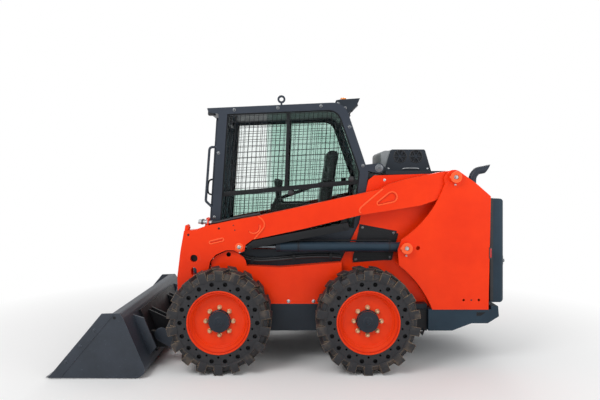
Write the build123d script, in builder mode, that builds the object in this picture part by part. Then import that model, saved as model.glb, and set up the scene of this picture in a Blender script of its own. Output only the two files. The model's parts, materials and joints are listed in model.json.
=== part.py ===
"""Skid steer loader: lower frame, towers, lift arms, bucket, cab and four lugged solid tyres.

Front is -X, the machine's left side is -Y, the ground is Z = 0. Lengths are in millimetres.
"""
import math
import os

from build123d import *

os.makedirs("parts", exist_ok=True)

# Running gear
wheelbase = 1195.0
rear_axle_x = 659.0
front_axle_x = rear_axle_x - wheelbase
tyre_radius = 419.0
tyre_width = 290.0
tyre_outer_y = 880.0
lug_count = 18
lug_depth = 30.0
lug_length = 82.0
lug_overlap = 12.0
shoulder_inset = 20.0
ridge_drop = 70.0
rim_radius = 254.7
rim_wall = 12.0
dish_radius = 200.0
dish_depth = 72.0
disc_plate = 16.0
hub_radius = 85.0
hub_height = 34.0
axle_radius = 45.0
axle_flange_radius = 110.0
axle_flange = 20.0
bead_gap = 0.3
running_gap = 0.3

# Lower frame
frame_bottom = 271.0
frame_ahead = 104.0
frame_front_x = front_axle_x - frame_ahead
case_top = 500.0
case_half_width = 545.0
tub_half_width = 440.0
tub_top = 1000.0
tub_wall = 10.0
tub_rear_x = 700.0
case_rear_x = 1200.0
front_wall_top = 760.0
bulkhead_x = 60.0

# Side panels
panel_plate = 12.0
panel_top = 838.0
panel_dip = 28.0
panel_rear_x = 470.0
panel_rise = 16.0

# Towers
tower_inner_y = 443.0
tower_inner_plate = 12.0
tower_outer_y = 585.0
tower_outer_plate = 20.0
tower_rear_x = 1727.0
tower_rear_top = 1422.0
tower_base = 464.0
tower_web = 12.0
arch_radius = 510.0
arch_plate = 8.0
boss_radius = 50.0
boss_height = 34.0
pin_radius = 25.0
service_hole_spacing = 129.0
service_hole_radius = 11.0
service_hole_x = 1561.5
service_hole_z = 544.0
lock_hole_radius = 18.0

# Lift arms and their pins
lift_pivot_x = 1425.0
lift_pivot_z = 1583.0
cylinder_base_x = 1011.0
cylinder_base_z = 984.0
rod_pin_x = -404.0
rod_pin_z = 988.0
bucket_pin_ahead = 404.0
bucket_pin_x = front_axle_x - bucket_pin_ahead
bucket_pin_z = 190.0
arm_inner_y = 465.0
arm_width = 110.0
arm_hub_radius = 60.0
arm_foot_radius = 65.0
arm_slot = 60.0
side_gap = 5.0
cross_tube_ahead = 253.0
cross_tube_x = front_axle_x - cross_tube_ahead
cross_tube_z = 893.0
cross_tube_radius = 44.0
cross_tube_wall = 12.0
tube_ring_radius = 58.0
tube_ring_height = 6.0
leg_window_length = 72.0
leg_window_width = 50.0
leg_window_drop = 112.0

# Lift cylinders
lift_barrel_radius = 42.0
lift_rod_radius = 22.5
lift_barrel_length = 1099.0
lift_rod_length = 1290.0
lift_stroke_wall = 9.0
gland_length = 60.0
eye_width = 54.0
eye_radius = 50.0

# Tilt cylinders
tilt_y = 330.0
tilt_top_ahead = 324.0
tilt_top_x = front_axle_x - tilt_top_ahead
tilt_top_z = 960.0
tilt_lever = 130.0
tilt_lever_angle = 134.0
tilt_barrel_radius = 36.0
tilt_rod_radius = 20.0
tilt_barrel_length = 440.0
tilt_rod_length = 540.0
tilt_wall = 8.0
tilt_eye_radius = 40.0
tilt_ear_plate = 16.0
tilt_pin_radius = 20.0

# Bucket
bucket_half_width = 940.0
bucket_plate = 16.0
bucket_floor_z = 6.0
lip_reach = 948.0
back_foot_reach = 164.0
back_top_reach = 331.0
brow_reach = 503.0
bucket_lip_x = bucket_pin_x - lip_reach
bucket_heel_radius = 65.0
bucket_back_foot_x = bucket_pin_x - back_foot_reach
bucket_back_foot_z = 84.0
bucket_back_top_x = bucket_pin_x - back_top_reach
bucket_back_top_z = 471.0
bucket_top_z = 512.0
bucket_brow_x = bucket_pin_x - brow_reach
cutting_edge_length = 150.0
cutting_edge_plate = 20.0
attach_half_width = 570.0
attach_plate = 20.0

# Rear end
bumper_half_width = 600.0
bumper_bottom = 285.0
bumper_rear_x = 1797.0
hood_front_x = 865.0
hood_top = 1640.0
hood_plate = 30.0
hood_break_x = 1390.0
cooler_half_width = 300.0
cooler_front_x = 876.0
cooler_rear_x = 1297.0
cooler_top = 1838.0
cooler_taper = 58.0
fan_radius = 54.0
fan_hub = 14.0
fan_recess = 15.0
pipe_radius = 28.0
pipe_wall = 3.0
pipe_x = 1660.0
pipe_y = 380.0
pipe_top = 1668.0
pipe_tail_x = 1800.0
engine_length = 440.0
engine_width = 600.0
engine_height = 820.0
vent_plate = 6.0
rear_door_x = 1735.0
rear_door_depth = 124.0
rear_door_half_width = 560.0
rear_door_bottom = 517.0
rear_door_top = 1402.0
rear_door_wall = 14.0
rear_door_corner = 45.0
louvre_count = 9
louvre_height = 18.0
louvre_pitch = 56.0
louvre_width = 760.0
door_hinge_pin = 10.0
door_hinge_gap = 12.0
latch_radius = 14.0
latch_length = 29.0

# Cab
cab_half_width = 440.0
cab_wall = 40.0
cab_bottom = 1000.3
cab_front_foot_x = -672.0
cab_front_top_x = -596.0
door_top_up = 1120.0
head_clear = 74.7
roof_rise = 49.0
cab_front_top = cab_bottom + door_top_up + head_clear
cab_rear_top_x = 503.0
cab_rear_top = cab_front_top + roof_rise
cab_rear_bend_x = 712.0
rear_wall_rise = 617.0
cab_rear_bend = cab_rear_top - rear_wall_rise
cab_rear_foot_x = 640.0
cab_corner = 150.0
cab_sill = 1140.0
pillar = 72.0
rail = 55.0
cab_pivot_x = 805.0
cab_pivot_z = 1665.0
cab_ear_radius = 44.0
cab_ear_inner_y = 405.0
cab_pin_radius = 18.0
visor_reach = 104.0
visor_drop = 42.0
glass = 6.0
guard_wire = 4.0
guard_pitch_x = 40.0
guard_pitch_z = 53.0
guard_rim = 12.0
guard_y = 418.0
eye_ring_radius = 35.0
eye_ring_bore = 18.0
eye_ring_width = 16.0
eye_ring_x = -50.0
eye_ring_y = 410.0
door_half_width = 372.0
door_plate = 28.0
door_bar = 45.0
door_bottom_up = 130.0
front_opening_half = 345.0
handle_radius = 11.0
handle_y = 428.0
handle_low = 1314.0
handle_high = 1850.0
handle_reach = 62.0
rear_window_rise = 385.0

# Places worked out from the dimensions above
axle_z = tyre_radius
wheel_y = tyre_outer_y - tyre_width / 2
carcass_radius = tyre_radius - lug_depth
ridge_radius = tyre_radius - ridge_drop
lug_half_angle = math.degrees(math.asin(lug_length / 2 / tyre_radius))
rim_face = tyre_width / 2 - side_gap
disc_face = tyre_width / 2 - dish_depth
hub_face = disc_face + hub_height
arm_outer_y = arm_inner_y + arm_width
arm_mid_y = arm_inner_y + arm_width / 2
tilt_eye_x = bucket_pin_x + tilt_lever * math.cos(math.radians(tilt_lever_angle))
tilt_eye_z = bucket_pin_z + tilt_lever * math.sin(math.radians(tilt_lever_angle))


def save(part, name):
    """Label a finished piece and write its STEP file."""
    part.label = name
    export_step(part, f"parts/{name}.step")


def mirrored(part):
    """The right-hand twin of a left-hand piece."""
    return mirror(part, about=Plane.XZ, mode=Mode.PRIVATE)


def turned(radius, degrees):
    """A point of the wheel's side view, measured from straight up."""
    angle = math.radians(degrees)
    return (radius * math.sin(angle), radius * math.cos(angle))


# Tyre: faceted carcass with staggered slanted lugs on both halves


def lug_section(reach, foot, skew):
    """Four corners of a lug across the tread, at one depth of the tyre."""
    corners = []
    for radius, side in ((foot, -1), (tyre_radius, -1), (tyre_radius, 1), (foot, 1)):
        x, z = turned(radius, skew + side * lug_half_angle)
        corners.append(Vector(x, -reach, z))
    return corners


def flat_face(*corners):
    """A flat face from its corners."""
    return Face(Wire.make_polygon(corners, close=True))


outer = lug_section(tyre_width / 2, ridge_radius - shoulder_inset, 0)
inner = lug_section(-lug_overlap, carcass_radius - lug_overlap, lug_half_angle)
lug_faces = [flat_face(*outer), flat_face(*inner)]
for near, far in ((0, 1), (1, 2), (2, 3), (3, 0)):
    lug_faces.append(flat_face(outer[near], outer[far], inner[near]))
    lug_faces.append(flat_face(outer[far], inner[far], inner[near]))
lug = Solid(Shell(lug_faces))

lug_pitch = 360 / lug_count
near_lugs = [Rot(0, step * lug_pitch, 0) * lug for step in range(lug_count)]
far_lugs = [
    Rot(0, (step + 0.5) * lug_pitch, 0) * Rot(0, 0, 180) * lug for step in range(lug_count)
]

with BuildPart() as tyre:
    with BuildSketch(Plane.XZ):
        RegularPolygon(carcass_radius, 2 * lug_count)
    extrude(amount=tyre_width / 2 - shoulder_inset, both=True)
    with BuildSketch(Plane.XZ):
        RegularPolygon(ridge_radius, 2 * lug_count)
    extrude(amount=tyre_width / 2 - side_gap, both=True)
    add(near_lugs + far_lugs)
    with BuildSketch(Plane.XZ):
        RegularPolygon(rim_radius + bead_gap, 2 * lug_count, major_radius=False)
    extrude(amount=tyre_width, both=True, mode=Mode.SUBTRACT)

# Rim: barrel, dished disc and hub in one turned form, hollow behind the disc
with BuildPart() as rim:
    with BuildSketch(Plane.XY):
        Polygon(
            (0, -hub_face),
            (hub_radius, -hub_face),
            (hub_radius, -disc_face),
            (dish_radius, -disc_face),
            (rim_radius - rim_wall, -rim_face),
            (rim_radius, -rim_face),
            (rim_radius, rim_face),
            (0, rim_face),
            align=None,
        )
    revolve(axis=Axis.Y)
    with BuildSketch(Plane.XZ.offset(disc_face - disc_plate)):
        RegularPolygon(rim_radius - 2 * rim_wall, lug_count)
    extrude(amount=-tyre_width, mode=Mode.SUBTRACT)
    with BuildSketch(Plane.XZ.offset(hub_face - rim_wall)):
        Circle(axle_radius + running_gap)
    extrude(amount=-tyre_width, mode=Mode.SUBTRACT)

for end, axle_x in (("front", front_axle_x), ("rear", rear_axle_x)):
    place = Pos(axle_x, -wheel_y, axle_z)
    for piece, shape in (("tyre", tyre.part), ("rim", rim.part)):
        left = place * shape
        save(left, f"{piece}_{end}_left")
        save(mirrored(left), f"{piece}_{end}_right")

# Axle stubs on the chain cases, one solid at each wheel
with BuildPart() as axle_stubs:
    for axle_x in (front_axle_x, rear_axle_x):
        with BuildSketch(Plane.XZ.offset(case_half_width)):
            with Locations((axle_x, axle_z)):
                Circle(axle_flange_radius)
        extrude(amount=axle_flange)
        with BuildSketch(Plane.XZ.offset(case_half_width)):
            with Locations((axle_x, axle_z)):
                Circle(axle_radius)
        extrude(amount=wheel_y + hub_face - rim_wall - side_gap - case_half_width)
    mirror(about=Plane.XZ)
save(axle_stubs.part, "axle_stubs")

# Lower frame: chain cases along both sides and an open tub between them
with BuildPart() as lower_frame:
    with BuildSketch(Plane.XY.offset(frame_bottom)):
        with Locations(((frame_front_x + case_rear_x) / 2, 0)):
            Rectangle(case_rear_x - frame_front_x, 2 * case_half_width)
    extrude(amount=case_top - frame_bottom)
    with BuildSketch(Plane.XY.offset(frame_bottom)):
        with Locations(((frame_front_x + tub_rear_x) / 2, 0)):
            Rectangle(tub_rear_x - frame_front_x, 2 * tub_half_width)
    extrude(amount=tub_top - frame_bottom)
    with BuildSketch(Plane.XY.offset(frame_bottom + tub_wall)):
        for bay_front, bay_rear in (
            (frame_front_x, bulkhead_x),
            (bulkhead_x, tub_rear_x),
            (tub_rear_x, case_rear_x),
        ):
            with Locations(((bay_front + bay_rear) / 2, 0)):
                Rectangle(bay_rear - bay_front - tub_wall, 2 * (tub_half_width - tub_wall))
    extrude(amount=tub_top, mode=Mode.SUBTRACT)
    with BuildSketch(Plane.XY.offset(front_wall_top)):
        with Locations((frame_front_x, 0)):
            Rectangle(4 * tub_wall, 2 * (tub_half_width - 4 * tub_wall))
    extrude(amount=tub_top, mode=Mode.SUBTRACT)
save(lower_frame.part, "lower_frame")

# Side panels above the chain cases, folded inwards to the tub at the top
panel_y = case_half_width - panel_plate
panel_knee_x = (frame_front_x + panel_rear_x) / 3
with BuildPart() as side_panel:
    with BuildSketch(Plane.XZ.offset(panel_y)):
        Polygon(
            (frame_front_x, case_top),
            (panel_rear_x, case_top),
            (panel_rear_x, panel_top + panel_rise),
            (panel_knee_x, panel_top - panel_dip),
            (frame_front_x, panel_top),
            align=None,
        )
    extrude(amount=panel_plate)
    with BuildSketch(Plane.XZ.offset(tub_half_width)):
        Polygon(
            (frame_front_x, panel_top - panel_plate),
            (panel_knee_x, panel_top - panel_dip - panel_plate),
            (panel_rear_x, panel_top + panel_rise - panel_plate),
            (panel_rear_x, panel_top + panel_rise),
            (panel_knee_x, panel_top - panel_dip),
            (frame_front_x, panel_top),
            align=None,
        )
    extrude(amount=panel_y - tub_half_width)
save(side_panel.part, "side_panel_left")
save(mirrored(side_panel.part), "side_panel_right")

# Towers: inner and outer plates joined by webs, with the lift pins and their bosses
vent_front_x = 600.0
vent_rear_x = 940.0
vent_bottom = 862.0
vent_top = 1150.0
vent_lean = 60.0
vent_drop = 55.0
arch_foot_x = 1232.0
arch_rise = 54.0
arch_top_x = cylinder_base_x - boss_radius - 2 * side_gap


def off_axle(degrees, extra):
    """A point of the rear wheel arch, measured from straight above the rear axle."""
    x, z = turned(arch_radius + extra, degrees)
    return (rear_axle_x + x, axle_z + z)


arch_top_angle = math.degrees(math.asin((arch_top_x - rear_axle_x) / arch_radius))


def vent_corners(margin):
    """The leaning outline of the engine bay's side vent, shrunk by a margin."""
    return (
        (vent_front_x - vent_lean / 2 + margin, vent_bottom + margin),
        (vent_rear_x - vent_lean / 2 - margin, vent_bottom + margin),
        (vent_rear_x + vent_lean / 2 - margin, vent_top - vent_drop - margin),
        (vent_front_x + vent_lean / 2 + margin, vent_top - margin),
    )


vent_rim = 22.0
tower_crown = lift_pivot_z + 62
with BuildPart() as tower:
    with BuildSketch(Plane.XZ.offset(tower_inner_y)):
        with BuildLine():
            Polyline(
                (panel_rear_x, case_top),
                (panel_rear_x, panel_top + panel_rise),
                (panel_rear_x + 160, 1186),
                (panel_rear_x + 241, 1560),
                (panel_rear_x + 290, 1600),
                (lift_pivot_x + 46, 1622),
                (tower_rear_x - 127, tower_rear_top + 112),
                (tower_rear_x, tower_rear_top),
                (tower_rear_x, tower_base),
                (case_rear_x, tower_base),
                (case_rear_x, case_top),
                close=True,
            )
        make_face()
        Polygon(*vent_corners(vent_rim), align=None, mode=Mode.SUBTRACT)
    extrude(amount=tower_inner_plate)
    with BuildSketch(Plane.XZ.offset(tower_outer_y)):
        with BuildLine():
            Polyline(
                off_axle(arch_top_angle, 0),
                (cylinder_base_x - boss_radius - 20, cylinder_base_z - 20),
                (cylinder_base_x - 38, cylinder_base_z + 72),
            )
            Spline(
                (cylinder_base_x - 38, cylinder_base_z + 72),
                ((cylinder_base_x + lift_pivot_x) / 2 - 15, (cylinder_base_z + lift_pivot_z) / 2 - 12),
                (lift_pivot_x - 85, lift_pivot_z - 52),
            )
            ThreePointArc(
                (lift_pivot_x - 85, lift_pivot_z - 52), (lift_pivot_x, tower_crown),
                (lift_pivot_x + 46, lift_pivot_z + 42),
            )
            Polyline(
                (lift_pivot_x + 46, lift_pivot_z + 42),
                (tower_rear_x - 127, tower_rear_top + 112),
                (tower_rear_x, tower_rear_top),
                (tower_rear_x - 21, tower_base),
                (arch_foot_x, tower_base),
            )
            ThreePointArc(
                (arch_foot_x, tower_base), off_axle(arch_rise, side_gap), off_axle(arch_top_angle, 0)
            )
        make_face()
        with Locations(
            (service_hole_x - service_hole_spacing / 2, service_hole_z),
            (service_hole_x + service_hole_spacing / 2, service_hole_z),
        ):
            Circle(service_hole_radius, mode=Mode.SUBTRACT)
        with Locations((cylinder_base_x + 2 * boss_radius, cylinder_base_z)):
            Circle(lock_hole_radius, mode=Mode.SUBTRACT)
    extrude(amount=tower_outer_plate)
    web_reach = tower_outer_y - tower_inner_y
    with BuildSketch(Plane.XZ.offset(tower_inner_y)):
        Polygon(
            (tower_rear_x - 2 * tower_web, tower_base),
            (tower_rear_x - 21, tower_base),
            (tower_rear_x - tower_web, tower_rear_top - 40),
            (tower_rear_x - 2 * tower_web, tower_rear_top - 40),
            align=None,
        )
        with BuildLine():
            Polyline((arch_foot_x, tower_base), (arch_foot_x + arch_plate, tower_base))
            ThreePointArc(
                (arch_foot_x + arch_plate, tower_base),
                off_axle(arch_rise, side_gap + arch_plate),
                off_axle(arch_top_angle, arch_plate),
            )
            Polyline(off_axle(arch_top_angle, arch_plate), off_axle(arch_top_angle, 0))
            ThreePointArc(
                off_axle(arch_top_angle, 0), off_axle(arch_rise, side_gap), (arch_foot_x, tower_base)
            )
        make_face()
    extrude(amount=web_reach)
    for pin_x, pin_z in ((lift_pivot_x, lift_pivot_z), (cylinder_base_x, cylinder_base_z)):
        with BuildSketch(Plane.XZ.offset(tower_outer_y)):
            with Locations((pin_x, pin_z)):
                Circle(boss_radius)
        extrude(amount=tower_outer_plate + boss_height)
        with BuildSketch(Plane.XZ.offset(tower_inner_y)):
            with Locations((pin_x, pin_z)):
                Circle(pin_radius)
        extrude(amount=web_reach + tower_outer_plate + boss_height)
tower_left = tower.part
tower_right = mirrored(tower.part)
save(tower_left, "tower_left")

# Pins of the linkage, as places in the side view
lift_pin = (lift_pivot_x, lift_pivot_z)
base_pin = (cylinder_base_x, cylinder_base_z)
rod_pin = (rod_pin_x, rod_pin_z)
bucket_pin = (bucket_pin_x, bucket_pin_z)
tube_pin = (cross_tube_x, cross_tube_z)
tilt_pin = (tilt_top_x, tilt_top_z)
tilt_eye = (tilt_eye_x, tilt_eye_z)


def off(pin, dx, dz):
    """A point of the side view, measured from a pin."""
    return (pin[0] + dx, pin[1] + dz)


# Lift arms: box beam, knee and leg, slotted for the rod's eye and the bucket's ear
foot_slot_up = 125.0
bucket_pin_radius = 22.0
with BuildPart() as lift_arm:
    with BuildSketch(Plane.XZ.offset(arm_inner_y)):
        with BuildLine():
            Polyline(
                off(tube_pin, -84, 234),
                off(tube_pin, 12, 243),
                off(rod_pin, -286, 180),
                off(rod_pin, -69, 226),
                off(rod_pin, 177, 269),
                off(lift_pin, -634, -105),
                off(lift_pin, -563, -61),
                off(lift_pin, -411, -18),
                off(lift_pin, -121, 44),
                off(lift_pin, 0, arm_hub_radius),
                off(lift_pin, 30, -arm_hub_radius),
                off(lift_pin, -163, -199),
                off(lift_pin, -291, -241),
                off(lift_pin, -786, -320),
                off(rod_pin, 557, 158),
                off(rod_pin, 113, 63),
                off(rod_pin, 54, 20),
                off(rod_pin, 44, -33),
                off(rod_pin, -1, -50),
                off(rod_pin, -47, -26),
                off(rod_pin, -113, -26),
                off(rod_pin, -200, -65),
                off(rod_pin, -248, -118),
                off(tube_pin, 120, -108),
                off(bucket_pin, arm_foot_radius, 10),
                off(bucket_pin, -arm_foot_radius, 10),
                off(tube_pin, -137, -295),
                off(tube_pin, -140, -150),
                off(tube_pin, -114, 65),
                close=True,
            )
        make_face()
        with Locations(lift_pin):
            Circle(arm_hub_radius)
        with Locations(bucket_pin):
            Circle(arm_foot_radius)
        with Locations(off(tube_pin, 0, -leg_window_drop)):
            SlotOverall(leg_window_length, leg_window_width, rotation=90, mode=Mode.SUBTRACT)
        with Locations(lift_pin):
            Circle(pin_radius + running_gap, mode=Mode.SUBTRACT)
    extrude(amount=arm_width)
    with BuildSketch(Plane.XZ.offset(arm_outer_y)):
        with Locations(tube_pin):
            Circle(tube_ring_radius)
    extrude(amount=tube_ring_height)
    with BuildSketch(Plane.XZ.offset(arm_inner_y)):
        with Locations(tube_pin):
            Circle(cross_tube_radius - cross_tube_wall)
    extrude(amount=arm_width + tube_ring_height, mode=Mode.SUBTRACT)
    slot_y = arm_mid_y - arm_slot / 2
    with BuildSketch(Plane.XZ.offset(slot_y)):
        with Locations(off(rod_pin, side_gap, -eye_radius)):
            Rectangle(2.6 * eye_radius, 4.4 * eye_radius)
        with Locations(off(bucket_pin, 0, 0)):
            Rectangle(4 * arm_foot_radius, 2 * foot_slot_up)
    extrude(amount=arm_slot, mode=Mode.SUBTRACT)
    with BuildSketch(Plane.XZ.offset(arm_inner_y)):
        with Locations(bucket_pin):
            Circle(bucket_pin_radius)
    extrude(amount=arm_width)
save(lift_arm.part, "lift_arm_left")
save(mirrored(lift_arm.part), "lift_arm_right")

# Cross tube between the legs, with clevis ears and pins for the tilt cylinders
ear_gap = 2 * (tilt_barrel_radius + side_gap)
with BuildPart() as cross_tube:
    with BuildSketch(Plane.XZ):
        with Locations(tube_pin):
            Circle(cross_tube_radius)
    extrude(amount=arm_inner_y, both=True)
    for ear_y in (tilt_y - ear_gap / 2 - tilt_ear_plate, tilt_y + ear_gap / 2):
        with BuildSketch(Plane.XZ.offset(ear_y)):
            with Locations(tube_pin):
                Circle(cross_tube_radius)
            with Locations(tilt_pin):
                Circle(tilt_eye_radius)
            make_hull()
        extrude(amount=tilt_ear_plate)
    with BuildSketch(Plane.XZ.offset(tilt_y - ear_gap / 2 - tilt_ear_plate)):
        with Locations(tilt_pin):
            Circle(tilt_pin_radius)
    extrude(amount=ear_gap + 2 * tilt_ear_plate)
    mirror(about=Plane.XZ)
    with BuildSketch(Plane.XZ):
        with Locations(tube_pin):
            Circle(cross_tube_radius - cross_tube_wall)
    extrude(amount=arm_inner_y, both=True, mode=Mode.SUBTRACT)
save(cross_tube.part, "arm_cross_tube")


def cylinder_parts(start, finish, y, eye, pin, tube, tube_wall, rod, barrel_length, rod_length, gland):
    """Barrel and rod of a hydraulic cylinder from its base pin to its rod pin, at rest."""
    run = (Vector(finish[0], 0, finish[1]) - Vector(start[0], 0, start[1])).normalized()
    base = Plane(origin=(start[0], -y, start[1]), x_dir=(0, 1, 0), z_dir=run)
    tip = Plane(origin=(finish[0], -y, finish[1]), x_dir=(0, 1, 0), z_dir=-run)
    side = Plane.XZ.offset(y - eye_width / 2)
    bore = tube - tube_wall
    with BuildPart() as barrel:
        with BuildSketch(base):
            Circle(tube)
        extrude(amount=barrel_length)
        with BuildSketch(side):
            with Locations(start):
                Circle(eye)
        extrude(amount=eye_width)
        with BuildSketch(side.offset(-tube)):
            with Locations(start):
                Circle(pin + running_gap)
        extrude(amount=eye_width + 2 * tube, mode=Mode.SUBTRACT)
        for flat in (side.offset(-tube), side.offset(eye_width)):
            with BuildSketch(flat):
                with Locations(start):
                    Circle(eye + side_gap)
            extrude(amount=tube, mode=Mode.SUBTRACT)
        with BuildSketch(base.offset(eye + tube_wall)):
            Circle(bore)
        extrude(amount=barrel_length - eye - tube_wall - gland, mode=Mode.SUBTRACT)
        with BuildSketch(base.offset(barrel_length)):
            Circle(rod + running_gap)
        extrude(amount=-2 * gland, mode=Mode.SUBTRACT)
    with BuildPart() as rod_piece:
        with BuildSketch(tip):
            Circle(rod)
        extrude(amount=rod_length)
        with BuildSketch(tip.offset(rod_length)):
            Circle(bore - running_gap)
        extrude(amount=-tube_wall * 3)
        with BuildSketch(side):
            with Locations(finish):
                Circle(eye)
        extrude(amount=eye_width)
    return barrel.part, rod_piece.part


for kind, pieces in (
    ("lift", cylinder_parts(
        base_pin, rod_pin, arm_mid_y, eye_radius, pin_radius, lift_barrel_radius, lift_stroke_wall,
        lift_rod_radius, lift_barrel_length, lift_rod_length, gland_length,
    )),
    ("tilt", cylinder_parts(
        tilt_pin, tilt_eye, tilt_y, tilt_eye_radius, tilt_pin_radius, tilt_barrel_radius, tilt_wall,
        tilt_rod_radius, tilt_barrel_length, tilt_rod_length, gland_length,
    )),
):
    for name, piece in zip(("barrel", "rod"), pieces):
        save(piece, f"{kind}_{name}_left")
        save(mirrored(piece), f"{kind}_{name}_right")

# Bucket: bent floor and back between two side plates, with a separate cutting edge
back_lean = (bucket_back_top_x - bucket_back_foot_x) / (bucket_back_top_z - bucket_back_foot_z)
heel_x = bucket_back_foot_x + back_lean * (bucket_floor_z - bucket_back_foot_z)
heel = (heel_x, bucket_floor_z)
back_top = (bucket_back_top_x, bucket_back_top_z)
brow = (bucket_back_top_x - 29, bucket_top_z)
brow_radius = 1.25 * bucket_plate
edge_rear_x = bucket_lip_x + cutting_edge_length
bucket_inner = bucket_half_width - bucket_plate
with BuildPart() as bucket:
    with BuildSketch(Plane.XZ):
        with BuildLine():
            FilletPolyline(
                (edge_rear_x, bucket_floor_z),
                heel,
                back_top,
                brow,
                (brow[0] - 4 * bucket_plate, bucket_top_z - side_gap),
                radius=[bucket_heel_radius, brow_radius, brow_radius],
            )
            offset(amount=bucket_plate, side=Side.LEFT, kind=Kind.INTERSECTION)
        make_face()
    extrude(amount=bucket_inner, both=True)
    with BuildSketch(Plane.XZ.offset(bucket_inner)):
        outline = Polygon(
            (bucket_lip_x + 29, bucket_floor_z),
            heel,
            back_top,
            brow,
            (bucket_brow_x, bucket_top_z - side_gap),
            align=None,
        )
        fillet(outline.vertices().sort_by(Axis.X)[-1], bucket_heel_radius)
    extrude(amount=bucket_plate)
    mirror(about=Plane.XZ)
save(bucket.part, "bucket_shell")

with BuildPart() as cutting_edge:
    with BuildSketch(Plane.XZ):
        Polygon(
            (bucket_lip_x, bucket_floor_z),
            (edge_rear_x, bucket_floor_z),
            (edge_rear_x, bucket_floor_z + cutting_edge_plate),
            (bucket_lip_x + 2 * cutting_edge_plate, bucket_floor_z + cutting_edge_plate),
            align=None,
        )
    extrude(amount=bucket_inner, both=True)
save(cutting_edge.part, "cutting_edge")

# Attachment plate on the bucket's back, with hinge ears and tilt ears
back_length = math.dist((bucket_back_foot_x, bucket_back_foot_z), back_top)
up_back = ((back_top[0] - bucket_back_foot_x) / back_length, (back_top[1] - bucket_back_foot_z) / back_length)


def on_back(up, out):
    """A point beside the bucket's back, measured up it and out from it."""
    return (
        bucket_back_foot_x + up * up_back[0] + out * up_back[1],
        bucket_back_foot_z + up * up_back[1] - out * up_back[0],
    )


ear_root = 14.0
with BuildPart() as attach:
    with BuildSketch(Plane.XZ):
        Polygon(
            on_back(back_length * 0.05, 0),
            on_back(back_length * 0.05, attach_plate),
            on_back(back_length * 0.95, attach_plate),
            on_back(back_length * 0.95, 0),
            align=None,
        )
    extrude(amount=attach_half_width, both=True)
    with BuildSketch(Plane.XZ.offset(slot_y + side_gap)):
        with Locations(bucket_pin):
            Circle(arm_foot_radius - 2 * side_gap)
        with Locations(on_back(60, ear_root), on_back(180, ear_root)):
            Circle(ear_root)
        make_hull()
        with Locations(bucket_pin):
            Circle(bucket_pin_radius + running_gap, mode=Mode.SUBTRACT)
    extrude(amount=arm_slot - 2 * side_gap)
    for ear_y in (tilt_y - ear_gap / 2 - tilt_ear_plate, tilt_y + ear_gap / 2):
        with BuildSketch(Plane.XZ.offset(ear_y)):
            with Locations(tilt_eye):
                Circle(tilt_eye_radius)
            with Locations(on_back(150, ear_root), on_back(340, ear_root)):
                Circle(ear_root)
            make_hull()
        extrude(amount=tilt_ear_plate)
    mirror(about=Plane.XZ)
save(attach.part, "bucket_attach_plate")

# Engine, one plain block on the floor of its bay
engine_front_x = tub_rear_x + tub_wall + 2 * side_gap
with BuildPart() as engine:
    with BuildSketch(Plane.XY.offset(frame_bottom + tub_wall)):
        with Locations((engine_front_x + engine_length / 2, 0)):
            Rectangle(engine_length, engine_width)
    extrude(amount=engine_height)
save(engine.part, "engine")

# Rear bumper and counterweight under the towers
with BuildPart() as bumper:
    with BuildSketch(Plane.XZ):
        Polygon(
            (case_rear_x, tower_base),
            (case_rear_x, bumper_bottom),
            (bumper_rear_x - 397, bumper_bottom),
            (bumper_rear_x - 232, bumper_bottom + 62),
            (bumper_rear_x - 95, bumper_bottom + 62),
            (bumper_rear_x, bumper_bottom + 121),
            (bumper_rear_x - 7, tower_base + 28),
            (tower_rear_x + side_gap, tower_base + 28),
            (tower_rear_x + side_gap, tower_base),
            align=None,
        )
    extrude(amount=bumper_half_width, both=True)
save(bumper.part, "rear_bumper")

# Hood between the towers, with the pins that the cab tilts on
hood_half_width = tower_inner_y - running_gap
hood_ear_outer = cab_ear_inner_y - side_gap
hood_ear_plate = 28.0
hood_tail = tower_rear_top + 8
with BuildPart() as hood:
    with BuildSketch(Plane.XZ):
        Polygon(
            (hood_front_x, hood_top - hood_plate),
            (hood_front_x, hood_top),
            (hood_break_x, hood_top),
            (tower_rear_x, hood_tail),
            (tower_rear_x, hood_tail - 1.5 * hood_plate),
            (hood_break_x - hood_plate / 3, hood_top - hood_plate),
            align=None,
        )
    extrude(amount=hood_half_width, both=True)
    with BuildSketch(Plane.XY.offset(hood_tail - 2 * hood_plate)):
        with Locations((pipe_x, -pipe_y)):
            Circle(pipe_radius + running_gap)
    extrude(amount=hood_top, mode=Mode.SUBTRACT)
    for side in (1, -1):
        with BuildSketch(Plane.XZ.offset(side * (hood_ear_outer - hood_ear_plate))):
            with Locations((cab_pivot_x, cab_pivot_z)):
                Circle(cab_ear_radius - 2 * side_gap)
            with Locations((hood_front_x + cab_ear_radius, hood_top)):
                Circle(hood_plate / 2)
            make_hull()
        extrude(amount=side * hood_ear_plate)
        with BuildSketch(Plane.XZ.offset(side * (hood_ear_outer - hood_ear_plate))):
            with Locations((cab_pivot_x, cab_pivot_z)):
                Circle(cab_pin_radius)
        extrude(amount=side * (hood_ear_plate + cab_half_width - hood_ear_outer))
save(hood.part, "hood")

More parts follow.
